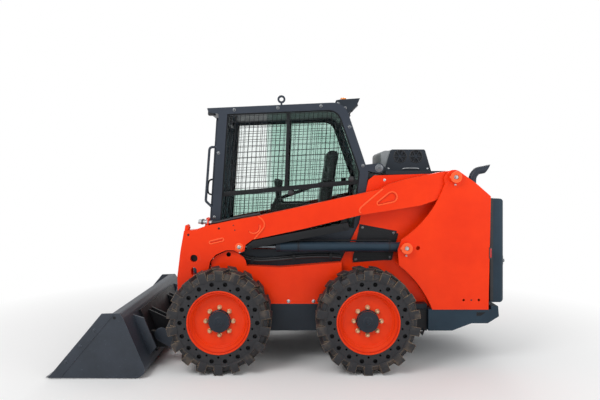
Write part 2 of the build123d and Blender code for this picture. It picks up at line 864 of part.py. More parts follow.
# Cooler housing on the hood, with round fan vents in both sides
fan_z = cooler_top - 62
with BuildPart() as cooler:
    with BuildSketch(Plane.XZ):
        Polygon(
            (cooler_front_x, hood_top),
            (cooler_rear_x, hood_top),
            (cooler_rear_x - cooler_taper, cooler_top),
            (cooler_front_x + cooler_taper, cooler_top),
            align=None,
        )
    extrude(amount=cooler_half_width, both=True)
    fillet(cooler.edges().filter_by(Axis.Y).group_by(Axis.Z)[-1], 18)
    for side in (1, -1):
        with BuildSketch(Plane.XZ.offset(side * cooler_half_width)):
            for fan_x in ((cooler_front_x + cooler_rear_x) / 2 - 72, (cooler_front_x + cooler_rear_x) / 2 + 72):
                with Locations((fan_x, fan_z)):
                    Circle(fan_radius)
                    Circle(fan_hub, mode=Mode.SUBTRACT)
                    for turn in range(3):
                        Rectangle(2 * fan_radius, fan_hub / 2, rotation=60 * turn, mode=Mode.SUBTRACT)
        extrude(amount=-side * fan_recess, mode=Mode.SUBTRACT)
save(cooler.part, "cooler_housing")

# Exhaust pipe rising through the hood and turning to the rear
with BuildPart() as exhaust:
    with BuildLine() as run:
        FilletPolyline(
            (pipe_x, -pipe_y, hood_tail - 2 * hood_plate),
            (pipe_x, -pipe_y, pipe_top),
            (pipe_tail_x, -pipe_y, pipe_top + pipe_radius),
            radius=1.6 * pipe_radius,
        )
    with BuildSketch(Plane.XY.offset(hood_tail - 2 * hood_plate)):
        with Locations((pipe_x, -pipe_y)):
            Circle(pipe_radius)
            Circle(pipe_radius - pipe_wall, mode=Mode.SUBTRACT)
    sweep(path=run.wires()[0])
save(exhaust.part, "exhaust_pipe")

# Slotted vent panels on the towers' inner plates
vent_slot_count = 8
vent_slot_height = 14.0
with BuildPart() as vents:
    with BuildSketch(Plane.XZ.offset(tower_inner_y + tower_inner_plate)):
        Polygon(*vent_corners(0), align=None)
    extrude(amount=vent_plate)
    with BuildSketch(Plane.XZ.offset(tower_inner_y + tower_inner_plate)):
        with Locations(((vent_front_x + vent_rear_x) / 2, (vent_bottom + vent_top - vent_drop) / 2)):
            with GridLocations(0, 2 * vent_slot_height, 1, vent_slot_count):
                SlotOverall(0.72 * (vent_rear_x - vent_front_x), vent_slot_height)
    extrude(amount=vent_plate, mode=Mode.SUBTRACT)
    mirror(about=Plane.XZ)
save(vents.part, "side_vents")

# Tail lamps behind the towers' outer plates
lamp_height = 80.0
lamp_depth = 14.0
lamp_z = 942.0
with BuildPart() as tail_lamps:
    with BuildSketch(Plane.XZ.offset(tower_outer_y)):
        with Locations((tower_rear_x - lamp_depth / 2 + side_gap, lamp_z)):
            RectangleRounded(lamp_depth, lamp_height, side_gap)
    extrude(amount=tower_outer_plate)
    mirror(about=Plane.XZ)
save(tail_lamps.part, "tail_lamps")

# Rear door: a deep pan with louvres, on barrel hinges at the right
hinge_x = rear_door_x + rear_door_depth / 2
hinge_y = rear_door_half_width + door_hinge_gap
hinge_heights = (rear_door_bottom + 160, rear_door_top - 160)
hinge_lug = 28.0
with BuildPart() as rear_door:
    with BuildSketch(Plane.XY.offset(rear_door_bottom)):
        with Locations((rear_door_x + rear_door_depth / 2, 0)):
            Rectangle(rear_door_depth, 2 * rear_door_half_width)
    extrude(amount=rear_door_top - rear_door_bottom)
    rear_face = rear_door.faces().sort_by(Axis.X)[-1]
    fillet(rear_face.edges(), rear_door_corner)
    with BuildSketch(Plane.YZ.offset(rear_door_x)):
        with Locations((0, (rear_door_bottom + rear_door_top) / 2)):
            RectangleRounded(
                2 * (rear_door_half_width - rear_door_corner),
                rear_door_top - rear_door_bottom - 2 * rear_door_corner,
                rear_door_corner,
            )
    extrude(amount=rear_door_depth - rear_door_wall, mode=Mode.SUBTRACT)
    with BuildSketch(Plane.YZ.offset(rear_door_x + rear_door_depth)):
        with Locations((0, (rear_door_bottom + rear_door_top) / 2 + louvre_pitch)):
            with GridLocations(0, louvre_pitch, 1, louvre_count):
                SlotOverall(louvre_width, louvre_height)
    extrude(amount=-2 * rear_door_wall, mode=Mode.SUBTRACT)
    for hinge_z in hinge_heights:
        with BuildSketch(Plane.XY.offset(hinge_z + running_gap)):
            with Locations((hinge_x, hinge_y - door_hinge_gap)):
                Rectangle(2 * hinge_lug, 2 * door_hinge_gap)
            with Locations((hinge_x, hinge_y)):
                Circle(hinge_lug - door_hinge_gap)
                Circle(door_hinge_pin + running_gap, mode=Mode.SUBTRACT)
        extrude(amount=hinge_lug)
save(rear_door.part, "rear_door")

with BuildPart() as latch:
    with BuildSketch(Plane.YZ.offset(rear_door_x + rear_door_depth)):
        with Locations((-rear_door_half_width + 2 * rear_door_corner, lamp_z - lamp_height)):
            Circle(latch_radius)
    extrude(amount=latch_length)
save(latch.part, "rear_door_latch")

# Right tower carries the rear door's hinge brackets and pins
bracket_plate = 14.0
with BuildPart() as tower_hinged:
    add(tower_right)
    for hinge_z in hinge_heights:
        with BuildSketch(Plane.XY.offset(hinge_z - bracket_plate)):
            with Locations(((tower_rear_x - 3 * tower_web + hinge_x + door_hinge_pin) / 2, hinge_y + side_gap)):
                Rectangle(hinge_x + door_hinge_pin - tower_rear_x + 3 * tower_web, 4 * side_gap)
        extrude(amount=bracket_plate)
        with BuildSketch(Plane.XY.offset(hinge_z - bracket_plate)):
            with Locations((hinge_x, hinge_y)):
                Circle(door_hinge_pin)
        extrude(amount=bracket_plate + hinge_lug)
save(tower_hinged.part, "tower_right")

# Cab: hollow welded frame with window openings, roof visor, tilt ears and lifting eyes
cab_outline = (
    (cab_front_foot_x, cab_bottom),
    (cab_front_top_x, cab_front_top),
    (cab_rear_top_x, cab_rear_top),
    (cab_rear_bend_x, cab_rear_bend),
    (cab_rear_foot_x, cab_bottom),
)
front_lean = (cab_front_top_x - cab_front_foot_x) / (cab_front_top - cab_bottom)
rear_lean = (cab_rear_bend_x - cab_rear_foot_x) / (cab_rear_bend - cab_bottom)
lean_angle = math.degrees(math.atan(front_lean))
roof_slope = (cab_rear_top - cab_front_top) / (cab_rear_top_x - cab_front_top_x)
roof_angle = math.degrees(math.atan(roof_slope))
window_outline = (
    (cab_front_foot_x + front_lean * (cab_sill - cab_bottom) + pillar, cab_sill),
    (cab_front_top_x + pillar, cab_front_top - rail),
    (cab_rear_top_x - rail, cab_rear_top - rail - 10),
    (cab_rear_bend_x - pillar, cab_rear_bend),
    (cab_rear_foot_x + rear_lean * (cab_sill - cab_bottom) - pillar, cab_sill),
)
seat_deck_front_x = -180.0
seat_deck_plate = 20.0


def rounded_outline(points, radius):
    """A closed side-view outline with its rear top corner rounded."""
    with BuildSketch(Plane.XZ) as flat:
        outline = Polygon(*points, align=None)
        corner = outline.vertices().sort_by(Axis.Y)[-1]
        fillet(corner, radius)
    return flat.sketch


cab_face = rounded_outline(cab_outline, cab_corner)
window_face = rounded_outline(window_outline, cab_corner - rail / 2)
with BuildPart() as cab:
    add(extrude(cab_face, amount=cab_half_width, both=True, mode=Mode.PRIVATE))
    hollow = offset(cab_face, amount=-cab_wall, mode=Mode.PRIVATE)
    add(
        extrude(hollow, amount=cab_half_width - cab_wall, both=True, mode=Mode.PRIVATE),
        mode=Mode.SUBTRACT,
    )
    add(extrude(window_face, amount=2 * cab_half_width, both=True, mode=Mode.PRIVATE), mode=Mode.SUBTRACT)
    with BuildSketch(Plane.XY.offset(cab_bottom - cab_wall)):
        with Locations(((cab_front_foot_x + cab_rear_foot_x) / 2, 0)):
            Rectangle(
                cab_rear_foot_x - cab_front_foot_x - 2 * cab_wall, 2 * (cab_half_width - cab_wall)
            )
    extrude(amount=3 * cab_wall, mode=Mode.SUBTRACT)
    with BuildSketch(Plane.YZ.offset(cab_front_foot_x - cab_wall)):
        with Locations((0, (cab_sill + cab_front_top - 2 * rail) / 2)):
            RectangleRounded(2 * front_opening_half, cab_front_top - 2 * rail - cab_sill, cab_wall)
    extrude(amount=5 * cab_wall, mode=Mode.SUBTRACT)
    with BuildSketch(Plane.YZ.offset(cab_rear_top_x - 2 * cab_wall)):
        with Locations((0, (cab_rear_bend + cab_rear_top) / 2)):
            RectangleRounded(2 * front_opening_half, rear_window_rise, cab_wall)
    extrude(amount=8 * cab_wall, mode=Mode.SUBTRACT)
    with BuildSketch(Plane.XY.offset(cab_bottom)):
        with Locations(((seat_deck_front_x + cab_rear_foot_x) / 2 - cab_wall / 2, 0)):
            Rectangle(cab_rear_foot_x - seat_deck_front_x - cab_wall, 2 * (cab_half_width - cab_wall))
    extrude(amount=seat_deck_plate)
    with BuildSketch(Plane.XZ):
        Polygon(
            (cab_front_top_x, cab_front_top),
            (cab_front_top_x - visor_reach, cab_front_top - side_gap),
            (cab_front_top_x - visor_reach + 10, cab_front_top - visor_drop),
            (cab_front_top_x - front_lean * rail, cab_front_top - rail),
            align=None,
        )
    extrude(amount=cab_half_width, both=True)
    ear_width = cab_half_width - cab_ear_inner_y
    for side in (1, -1):
        with BuildSketch(Plane.XZ.offset(side * cab_ear_inner_y)):
            with Locations((cab_pivot_x, cab_pivot_z)):
                Circle(cab_ear_radius)
            with Locations((cab_rear_bend_x - cab_ear_radius, cab_rear_bend + cab_ear_radius)):
                Circle(cab_ear_radius / 2)
            make_hull()
            with Locations((cab_pivot_x, cab_pivot_z)):
                Circle(cab_pin_radius + running_gap, mode=Mode.SUBTRACT)
        extrude(amount=side * ear_width)
        roof_z = cab_front_top + roof_slope * (eye_ring_x - cab_front_top_x)
        with BuildSketch(Plane.XZ.offset(side * eye_ring_y - eye_ring_width / 2)):
            with Locations((eye_ring_x, roof_z + 1.5 * eye_ring_radius)):
                Circle(eye_ring_radius)
            with Locations((eye_ring_x, roof_z + eye_ring_radius / 3)):
                Rectangle(eye_ring_width, eye_ring_radius)
            with Locations((eye_ring_x, roof_z + 1.5 * eye_ring_radius)):
                Circle(eye_ring_bore, mode=Mode.SUBTRACT)
        extrude(amount=eye_ring_width)
save(cab.part, "cab_frame")

# Window glass in both sides and the rear wall
with BuildPart() as cab_glass:
    pane = offset(window_face, amount=-bead_gap, mode=Mode.PRIVATE)
    add(Pos(0, -(cab_half_width - cab_wall), 0) * extrude(pane, amount=glass, mode=Mode.PRIVATE))
    mirror(about=Plane.XZ)
save(cab_glass.part, "cab_side_glass")

# Wire guards over the side windows: a rim with two layers of bars
guard_face = offset(window_face, amount=-bead_gap, mode=Mode.PRIVATE)
guard_inner = offset(window_face, amount=-guard_rim, mode=Mode.PRIVATE)
guard_centre = ((window_outline[0][0] + window_outline[3][0]) / 2, (cab_sill + cab_rear_top) / 2)
bars_x = int((cab_rear_bend_x - cab_front_foot_x) / guard_pitch_x)
bars_z = int((cab_rear_top - cab_sill) / guard_pitch_z)
bar_reach = 2 * (cab_rear_bend_x - cab_front_foot_x)
with BuildPart() as guards:
    with BuildSketch(Plane.XZ.offset(guard_y)):
        add(guard_face)
        add(guard_inner, mode=Mode.SUBTRACT)
    extrude(amount=2 * guard_wire + running_gap)
    with BuildSketch(Plane.XZ.offset(guard_y)):
        with Locations(guard_centre):
            with GridLocations(guard_pitch_x, 0, bars_x, 1):
                Rectangle(guard_wire, bar_reach, rotation=-lean_angle)
        add(guard_face, mode=Mode.INTERSECT)
    extrude(amount=guard_wire)
    with BuildSketch(Plane.XZ.offset(guard_y + guard_wire + running_gap)):
        with Locations(guard_centre):
            with GridLocations(0, guard_pitch_z, 1, bars_z):
                Rectangle(bar_reach, guard_wire, rotation=roof_angle)
        add(guard_face, mode=Mode.INTERSECT)
    extrude(amount=guard_wire)
save(guards.part, "window_guard_left")
save(mirrored(guards.part), "window_guard_right")

# Front door: leaning frame and glass on the cab's front face
door_plane = Plane(
    origin=(cab_front_foot_x - running_gap, 0, cab_bottom), x_dir=(0, -1, 0),
    z_dir=(-math.cos(math.radians(lean_angle)), 0, math.sin(math.radians(lean_angle))),
)
door_centre = (0, (door_bottom_up + door_top_up) / 2)
door_rise = door_top_up - door_bottom_up
with BuildPart() as door:
    with BuildSketch(door_plane):
        with Locations(door_centre):
            RectangleRounded(2 * door_half_width, door_rise, door_bar)
            RectangleRounded(
                2 * (door_half_width - door_bar), door_rise - 2 * door_bar, door_bar / 2, mode=Mode.SUBTRACT
            )
    extrude(amount=door_plate)
save(door.part, "front_door")

with BuildPart() as door_glass:
    with BuildSketch(door_plane.offset(door_plate / 2)):
        with Locations(door_centre):
            RectangleRounded(
                2 * (door_half_width - door_bar - bead_gap),
                door_rise - 2 * (door_bar + bead_gap),
                door_bar / 2 - bead_gap,
            )
    extrude(amount=glass)
save(door_glass.part, "front_door_glass")

# Rear window glass in the cab's sloping back wall
rear_run = Vector(cab_rear_bend_x - cab_rear_top_x, 0, cab_rear_bend - cab_rear_top).normalized()
rear_plane = Plane(
    origin=((cab_rear_top_x + cab_rear_bend_x) / 2, 0, (cab_rear_top + cab_rear_bend) / 2),
    x_dir=(0, 1, 0), z_dir=rear_run.cross(Vector(0, 1, 0)),
)
with BuildPart() as rear_glass:
    with BuildSketch(Plane.YZ.offset(cab_rear_top_x - 2 * cab_wall)):
        with Locations((0, (cab_rear_bend + cab_rear_top) / 2)):
            RectangleRounded(
                2 * (front_opening_half - bead_gap), rear_window_rise - 2 * bead_gap, cab_wall - bead_gap
            )
    extrude(amount=8 * cab_wall)
    with BuildSketch(rear_plane.offset(-cab_wall / 2)):
        Rectangle(2 * cab_half_width, 2 * rear_window_rise)
    extrude(amount=glass, mode=Mode.INTERSECT)
save(rear_glass.part, "cab_rear_glass")

# Grab handles on the front pillars
with BuildPart() as handles:
    foot_low = cab_front_foot_x + front_lean * (handle_low - cab_bottom)
    foot_high = cab_front_foot_x + front_lean * (handle_high - cab_bottom)
    with BuildLine() as handle_run:
        FilletPolyline(
            (foot_low + side_gap, -handle_y, handle_low),
            (foot_low - handle_reach, -handle_y, handle_low + handle_reach),
            (foot_high - handle_reach, -handle_y, handle_high),
            (foot_high + side_gap, -handle_y, handle_high),
            radius=2.5 * handle_radius,
        )
    with BuildSketch(Plane(handle_run.wires()[0] @ 0, z_dir=handle_run.wires()[0] % 0)):
        Circle(handle_radius)
    sweep(path=handle_run.wires()[0])
    mirror(about=Plane.XZ)
    add(cab.part, mode=Mode.SUBTRACT)
save(handles.part, "grab_handles")

# Seat and control consoles on the cab's deck
seat_x = 150.0
seat_length = 480.0
seat_width = 480.0
seat_base = 170.0
cushion = 110.0
backrest_height = 560.0
backrest = 110.0
deck_top = cab_bottom + seat_deck_plate
with BuildPart() as seat_mount:
    with BuildSketch(Plane.XY.offset(deck_top)):
        with Locations((seat_x, 0)):
            RectangleRounded(seat_length - 4 * side_gap, seat_width - 4 * side_gap, 4 * side_gap)
    extrude(amount=seat_base)
save(seat_mount.part, "seat_mount")

with BuildPart() as seat_cushion:
    with BuildSketch(Plane.XY.offset(deck_top + seat_base)):
        with Locations((seat_x, 0)):
            RectangleRounded(seat_length, seat_width, 12 * side_gap)
    extrude(amount=cushion)
    fillet(seat_cushion.faces().sort_by(Axis.Z)[-1].edges(), 4 * side_gap)
save(seat_cushion.part, "seat_cushion")

with BuildPart() as seat_back:
    back_plane = Plane(
        origin=(seat_x + seat_length / 2 - backrest, 0, deck_top + seat_base + cushion + bead_gap),
        x_dir=(1, 0, 0), z_dir=(0.16, 0, 1),
    )
    with BuildSketch(Plane.XY.offset(deck_top + seat_base + cushion + bead_gap)):
        with Locations((seat_x + seat_length / 2 - backrest / 2, 0)):
            RectangleRounded(backrest, seat_width, 4 * side_gap)
    extrude(amount=backrest_height, dir=back_plane.z_dir)
save(seat_back.part, "seat_backrest")

console_y = 325.0
console_width = 90.0
console_length = 360.0
console_height = 330.0
stick_radius = 14.0
stick_height = 210.0
with BuildPart() as consoles:
    with BuildSketch(Plane.XY.offset(deck_top)):
        with Locations((seat_x - seat_length / 4, -console_y)):
            RectangleRounded(console_length, console_width, 4 * side_gap)
    extrude(amount=console_height)
    with BuildSketch(Plane.XY.offset(deck_top + console_height)):
        with Locations((seat_x - seat_length / 4 - console_length / 3, -console_y)):
            Circle(stick_radius)
    extrude(amount=stick_height, taper=-2)
    mirror(about=Plane.XZ)
save(consoles.part, "control_consoles")

# Rear work lamps on roof brackets
with BuildPart() as roof_lamps:
    with BuildSketch(Plane.XZ.offset(cab_half_width - 3 * cab_wall)):
        Polygon(
            (cab_rear_top_x - 33, cab_rear_top - 48),
            (cab_rear_top_x - 90, cab_rear_top - 22),
            (cab_rear_top_x - 70, cab_rear_top + 22),
            (cab_rear_top_x - 40, cab_rear_top + 28),
            (cab_rear_top_x + 140, cab_rear_top + 40),
            (cab_rear_top_x + 120, cab_rear_top - 10),
            (cab_rear_top_x + 55, cab_rear_top - 76),
            (cab_rear_top_x + 25, cab_rear_top - 108),
            align=None,
        )
    extrude(amount=2 * cab_wall)
    mirror(about=Plane.XZ)
    add(cab.part, mode=Mode.SUBTRACT)
save(roof_lamps.part, "roof_lamps")
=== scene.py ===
import json
import math

import bmesh
import bpy
from mathutils import Matrix, Vector


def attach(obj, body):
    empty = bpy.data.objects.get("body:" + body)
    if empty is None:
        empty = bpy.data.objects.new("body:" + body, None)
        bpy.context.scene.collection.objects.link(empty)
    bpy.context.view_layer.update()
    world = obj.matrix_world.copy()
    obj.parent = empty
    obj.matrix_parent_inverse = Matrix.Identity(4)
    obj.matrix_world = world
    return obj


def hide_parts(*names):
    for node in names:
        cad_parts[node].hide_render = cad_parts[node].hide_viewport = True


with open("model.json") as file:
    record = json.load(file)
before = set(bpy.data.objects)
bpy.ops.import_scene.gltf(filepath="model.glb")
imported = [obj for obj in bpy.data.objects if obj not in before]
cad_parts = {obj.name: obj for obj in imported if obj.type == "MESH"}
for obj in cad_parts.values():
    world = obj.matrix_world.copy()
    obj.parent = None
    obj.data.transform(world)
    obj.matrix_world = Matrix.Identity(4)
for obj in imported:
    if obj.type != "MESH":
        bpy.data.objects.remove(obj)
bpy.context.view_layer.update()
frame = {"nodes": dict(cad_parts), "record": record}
MM = 0.001
LEFT, RIGHT = -1, 1
SIDES = (("left", LEFT), ("right", RIGHT))
scene = bpy.context.scene


def added(name, data):
    """A new object in the scene."""
    made = bpy.data.objects.new(name, data)
    scene.collection.objects.link(made)
    return made


# Colours and materials
def srgb(red, green, blue):
    """A display colour, 0 to 255, as linear RGBA."""
    channels = [value / 255 for value in (red, green, blue)]
    linear = [c / 12.92 if c <= 0.04045 else ((c + 0.055) / 1.055) ** 2.4 for c in channels]
    return (*linear, 1.0)


def shader(name):
    """A new node material, with its node tree and its Principled shader."""
    made = bpy.data.materials.new(name)
    made.use_nodes = True
    tree = made.node_tree
    return made, tree, tree.nodes["Principled BSDF"]


def add_node(tree, kind, **values):
    """A shader node with some of its inputs set."""
    node = tree.nodes.new(kind)
    for key, value in values.items():
        node.inputs[key].default_value = value
    return node


def own_place(tree):
    """The part's own coordinates, as a socket."""
    return tree.nodes.new("ShaderNodeTexCoord").outputs["Object"]


def noise(tree, scale, detail=4.0):
    """Noise in the part's own coordinates, as a socket from 0 to 1."""
    texture = add_node(tree, "ShaderNodeTexNoise", Scale=scale, Detail=detail, Roughness=0.6)
    tree.links.new(own_place(tree), texture.inputs["Vector"])
    return texture.outputs["Fac"]


def spread(tree, value, low, high, to_low=0.0, to_high=1.0):
    """Stretch a socket's range and clamp it."""
    node = tree.nodes.new("ShaderNodeMapRange")
    for key, number in (("From Min", low), ("From Max", high), ("To Min", to_low), ("To Max", to_high)):
        node.inputs[key].default_value = number
    tree.links.new(value, node.inputs["Value"])
    return node.outputs["Result"]


def times(tree, one, two):
    """The product of two sockets, or of a socket and a number."""
    node = tree.nodes.new("ShaderNodeMath")
    node.operation = "MULTIPLY"
    tree.links.new(one, node.inputs[0])
    if isinstance(two, float):
        node.inputs[1].default_value = two
    else:
        tree.links.new(two, node.inputs[1])
    return node.outputs["Value"]


def blended(tree, share, under, over):
    """Colour mix: sockets or RGBA values, share as a socket."""
    node = tree.nodes.new("ShaderNodeMix")
    node.data_type = "RGBA"
    tree.links.new(share, node.inputs["Factor"])
    for socket, value in ((node.inputs[6], under), (node.inputs[7], over)):
        if isinstance(value, tuple):
            socket.default_value = value
        else:
            tree.links.new(value, socket)
    return node.outputs[2]


def clouded(tree, scale, deep, tone, low=0.35, high=0.7):
    """A cloudy mix of two display colours."""
    return blended(tree, spread(tree, noise(tree, scale), low, high), srgb(*deep), srgb(*tone))


def edges(tree, radius):
    """Near 1 on convex edges and corners, from the difference to a rounded normal."""
    bevel = add_node(tree, "ShaderNodeBevel", Radius=radius)
    bevel.samples = 4
    true = tree.nodes.new("ShaderNodeNewGeometry")
    dot = tree.nodes.new("ShaderNodeVectorMath")
    dot.operation = "DOT_PRODUCT"
    tree.links.new(bevel.outputs["Normal"], dot.inputs[0])
    tree.links.new(true.outputs["Normal"], dot.inputs[1])
    return spread(tree, dot.outputs["Value"], 0.97, 0.80)


def upward(tree, low, high):
    """1 on faces that look up, 0 on walls and undersides."""
    true = tree.nodes.new("ShaderNodeNewGeometry")
    split = tree.nodes.new("ShaderNodeSeparateXYZ")
    tree.links.new(true.outputs["Normal"], split.inputs["Vector"])
    return spread(tree, split.outputs["Z"], low, high)


def bumped(tree, bsdf, height, strength, distance):
    """Bump on the shader's normal."""
    node = add_node(tree, "ShaderNodeBump", Strength=strength, Distance=distance)
    tree.links.new(height, node.inputs["Height"])
    tree.links.new(node.outputs["Normal"], bsdf.inputs["Normal"])


def dressed(tree, bsdf, colour, grain, smooth, dull, start=0.2):
    """Set the shader's colour, and its roughness from a grain."""
    tree.links.new(colour, bsdf.inputs["Base Color"])
    tree.links.new(spread(tree, grain, start, 0.8, smooth, dull), bsdf.inputs["Roughness"])


DUST = (150, 138, 120)


def paint(name, tone, deep, rough, shine=0.25, dust=0.12, wear=None):
    """Sprayed paint: cloudy tone, dust on top faces, worn edges and a fine orange peel."""
    made, tree, bsdf = shader(name)
    colour = clouded(tree, 3.0, deep, tone)
    if wear:
        share = times(tree, edges(tree, 0.004), spread(tree, noise(tree, 26.0), 0.42, 0.6))
        colour = blended(tree, times(tree, share, 0.6), colour, srgb(*wear))
    layer = times(tree, upward(tree, 0.5, 1.0), spread(tree, noise(tree, 9.0), 0.3, 0.75))
    colour = blended(tree, times(tree, layer, dust), colour, srgb(*DUST))
    dressed(tree, bsdf, colour, noise(tree, 14.0), rough - 0.07, rough + 0.1)
    bsdf.inputs["Specular IOR Level"].default_value = shine
    bumped(tree, bsdf, noise(tree, 420.0, 2.0), 0.04, 0.002)
    return made


def scraped(name, tone, deep, bright, rough, metal):
    """Bare or rubbed steel with long scratches and brighter edges."""
    made, tree, bsdf = shader(name)
    stretch = add_node(tree, "ShaderNodeMapping", Scale=(6.0, 40.0, 14.0))
    tree.links.new(own_place(tree), stretch.inputs["Vector"])
    lines = add_node(tree, "ShaderNodeTexNoise", Scale=6.0, Detail=6.0, Roughness=0.7)
    tree.links.new(stretch.outputs["Vector"], lines.inputs["Vector"])
    colour = clouded(tree, 5.0, deep, tone)
    colour = blended(tree, spread(tree, lines.outputs["Fac"], 0.62, 0.78), colour, srgb(*bright))
    colour = blended(tree, times(tree, edges(tree, 0.005), 0.7), colour, srgb(*bright))
    dressed(tree, bsdf, colour, lines.outputs["Fac"], rough - 0.1, rough + 0.12, 0.3)
    bsdf.inputs["Metallic"].default_value = metal
    bumped(tree, bsdf, lines.outputs["Fac"], 0.08, 0.002)
    return made


def rubber(name):
    """Solid tyre rubber: dark sidewall, dusty tan on the lug flanks, and lighter tan on the lug edges that
    is partly wear and partly painted highlight.
    """
    made, tree, bsdf = shader(name)
    place = tree.nodes.new("ShaderNodeTexCoord")
    centred = add_node(tree, "ShaderNodeMapping", Location=(-1.0, 0.0, -1.0), Scale=(2.0, 0.0, 2.0))
    tree.links.new(place.outputs["Generated"], centred.inputs["Vector"])
    reach = tree.nodes.new("ShaderNodeVectorMath")
    reach.operation = "LENGTH"
    tree.links.new(centred.outputs["Vector"], reach.inputs[0])
    tread = spread(tree, reach.outputs["Value"], 0.80, 0.88)
    base = clouded(tree, 7.0, (21, 22, 26), (32, 32, 36), 0.3)
    dusty = times(tree, tread, spread(tree, noise(tree, 11.0), 0.50, 0.66))
    colour = blended(tree, times(tree, dusty, 0.28), base, srgb(120, 104, 88))
    # Lighter tan on convex lug edges: part wear, part painted highlight.
    worn_and_highlit = times(tree, times(tree, edges(tree, 0.007), tread), spread(tree, noise(tree, 4.0), 0.38, 0.52))
    colour = blended(tree, times(tree, worn_and_highlit, 0.85), colour, srgb(178, 150, 118))
    dressed(tree, bsdf, colour, noise(tree, 20.0), 0.55, 0.82)
    bumped(tree, bsdf, noise(tree, 260.0, 3.0), 0.16, 0.002)
    return made


def clear(name, tint, rough):
    """Tinted safety glass with a faint film of dirt, clearer in the front half of the side windows."""
    made, tree, bsdf = shader(name)
    film = clouded(tree, 2.5, tint, (222, 236, 231), 0.35, 0.75)
    split = tree.nodes.new("ShaderNodeSeparateXYZ")
    tree.links.new(own_place(tree), split.inputs["Vector"])
    x, z = split.outputs["X"], split.outputs["Z"]
    open_half = times(tree, spread(tree, x, -0.60, -0.58), spread(tree, x, -0.17, -0.19))
    open_half = times(tree, open_half, spread(tree, z, 1.46, 1.48))
    film = blended(tree, open_half, film, srgb(247, 250, 249))
    dressed(tree, bsdf, film, noise(tree, 8.0), rough, rough + 0.06, 0.3)
    bsdf.inputs["Transmission Weight"].default_value = 1.0
    bsdf.inputs["IOR"].default_value = 1.12
    return made


def moulded(name, tone, deep, rough, bump=0.12):
    """Textured plastic or vinyl."""
    made, tree, bsdf = shader(name)
    dressed(tree, bsdf, clouded(tree, 12.0, deep, tone), noise(tree, 40.0), rough - 0.08, rough + 0.1)
    bumped(tree, bsdf, noise(tree, 700.0, 2.0), bump, 0.001)
    return made


def lamp(name, tone, deep):
    """Ribbed lamp lens."""
    made, tree, bsdf = shader(name)
    ribs = add_node(tree, "ShaderNodeTexWave", Scale=60.0, Distortion=0.0)
    tree.links.new(own_place(tree), ribs.inputs["Vector"])
    colour = blended(tree, ribs.outputs["Fac"], srgb(*deep), srgb(*tone))
    dressed(tree, bsdf, colour, noise(tree, 30.0), 0.08, 0.2)
    bsdf.inputs["Coat Weight"].default_value = 0.6
    bumped(tree, bsdf, ribs.outputs["Fac"], 0.3, 0.002)
    return made


red = paint("red_paint", (245, 58, 6), (234, 50, 4), 0.36, shine=0.2, wear=(255, 116, 70))
# Darker red for lines beside pressed edges and a ring in the rim recess, standing for the shade there:
# painted shade.
painted_shade_red = paint("painted_shade_paint", (226, 50, 8), (212, 44, 6), 0.5)
# Lighter red for the weld beads, pressed marks and pin caps, standing for the light they catch: painted
# highlight.
highlight_red = paint("highlight_red_paint", (255, 104, 56), (250, 90, 42), 0.36, wear=(255, 150, 108))
rim_red = paint("rim_paint", (240, 66, 16), (226, 56, 12), 0.42, shine=0.2, wear=(252, 120, 80))
slate = paint("slate_paint", (50, 57, 68), (43, 50, 60), 0.4, wear=(92, 102, 116))
blue_slate = paint("blue_slate_paint", (36, 56, 70), (30, 47, 60), 0.4, wear=(82, 98, 114))
dark_slate = paint("dark_slate_paint", (36, 44, 53), (29, 36, 44), 0.42, wear=(80, 91, 104))
black = paint("black_paint", (24, 26, 30), (16, 18, 21), 0.46, wear=(58, 62, 68))
bucket_steel = scraped("bucket_steel", (48, 55, 66), (38, 45, 54), (92, 100, 111), 0.5, 0.1)
bright_steel = scraped("edge_steel", (122, 126, 130), (84, 88, 93), (190, 192, 192), 0.38, 0.75)
# Rod chrome, made darker than bright chrome to stand for the shade the rods lie in: painted shade.
chrome = scraped("rod_chrome", (120, 124, 128), (96, 100, 105), (170, 174, 178), 0.22, 1.0)
zinc = scraped("zinc_plate", (214, 180, 138), (186, 148, 104), (240, 220, 190), 0.34, 0.55)
silver = scraped("silver_plate", (196, 199, 200), (158, 162, 165), (230, 232, 232), 0.34, 0.7)
tyre_rubber = rubber("tyre_rubber")
hose_rubber = moulded("hose_rubber", (34, 36, 40), (22, 24, 27), 0.5)
glass = clear("tinted_glass", (194, 219, 210), 0.02)
plastic = moulded("black_plastic", (38, 40, 44), (28, 30, 33), 0.5)
grey_plastic = moulded("grey_plastic", (134, 139, 142), (114, 119, 122), 0.5)
vinyl = moulded("seat_vinyl", (40, 41, 45), (28, 29, 33), 0.46, 0.3)
red_lens = lamp("red_lens", (214, 26, 22), (150, 12, 12))
amber_lens = lamp("amber_lens", (250, 152, 34), (224, 112, 18))
white_lens = lamp("white_lens", (226, 230, 232), (170, 176, 180))
cast_iron = scraped("engine_iron", (74, 78, 82), (54, 58, 62), (110, 114, 118), 0.6, 0.5)
burnt = scraped("exhaust_steel", (48, 47, 51), (36, 35, 39), (86, 80, 78), 0.5, 0.6)

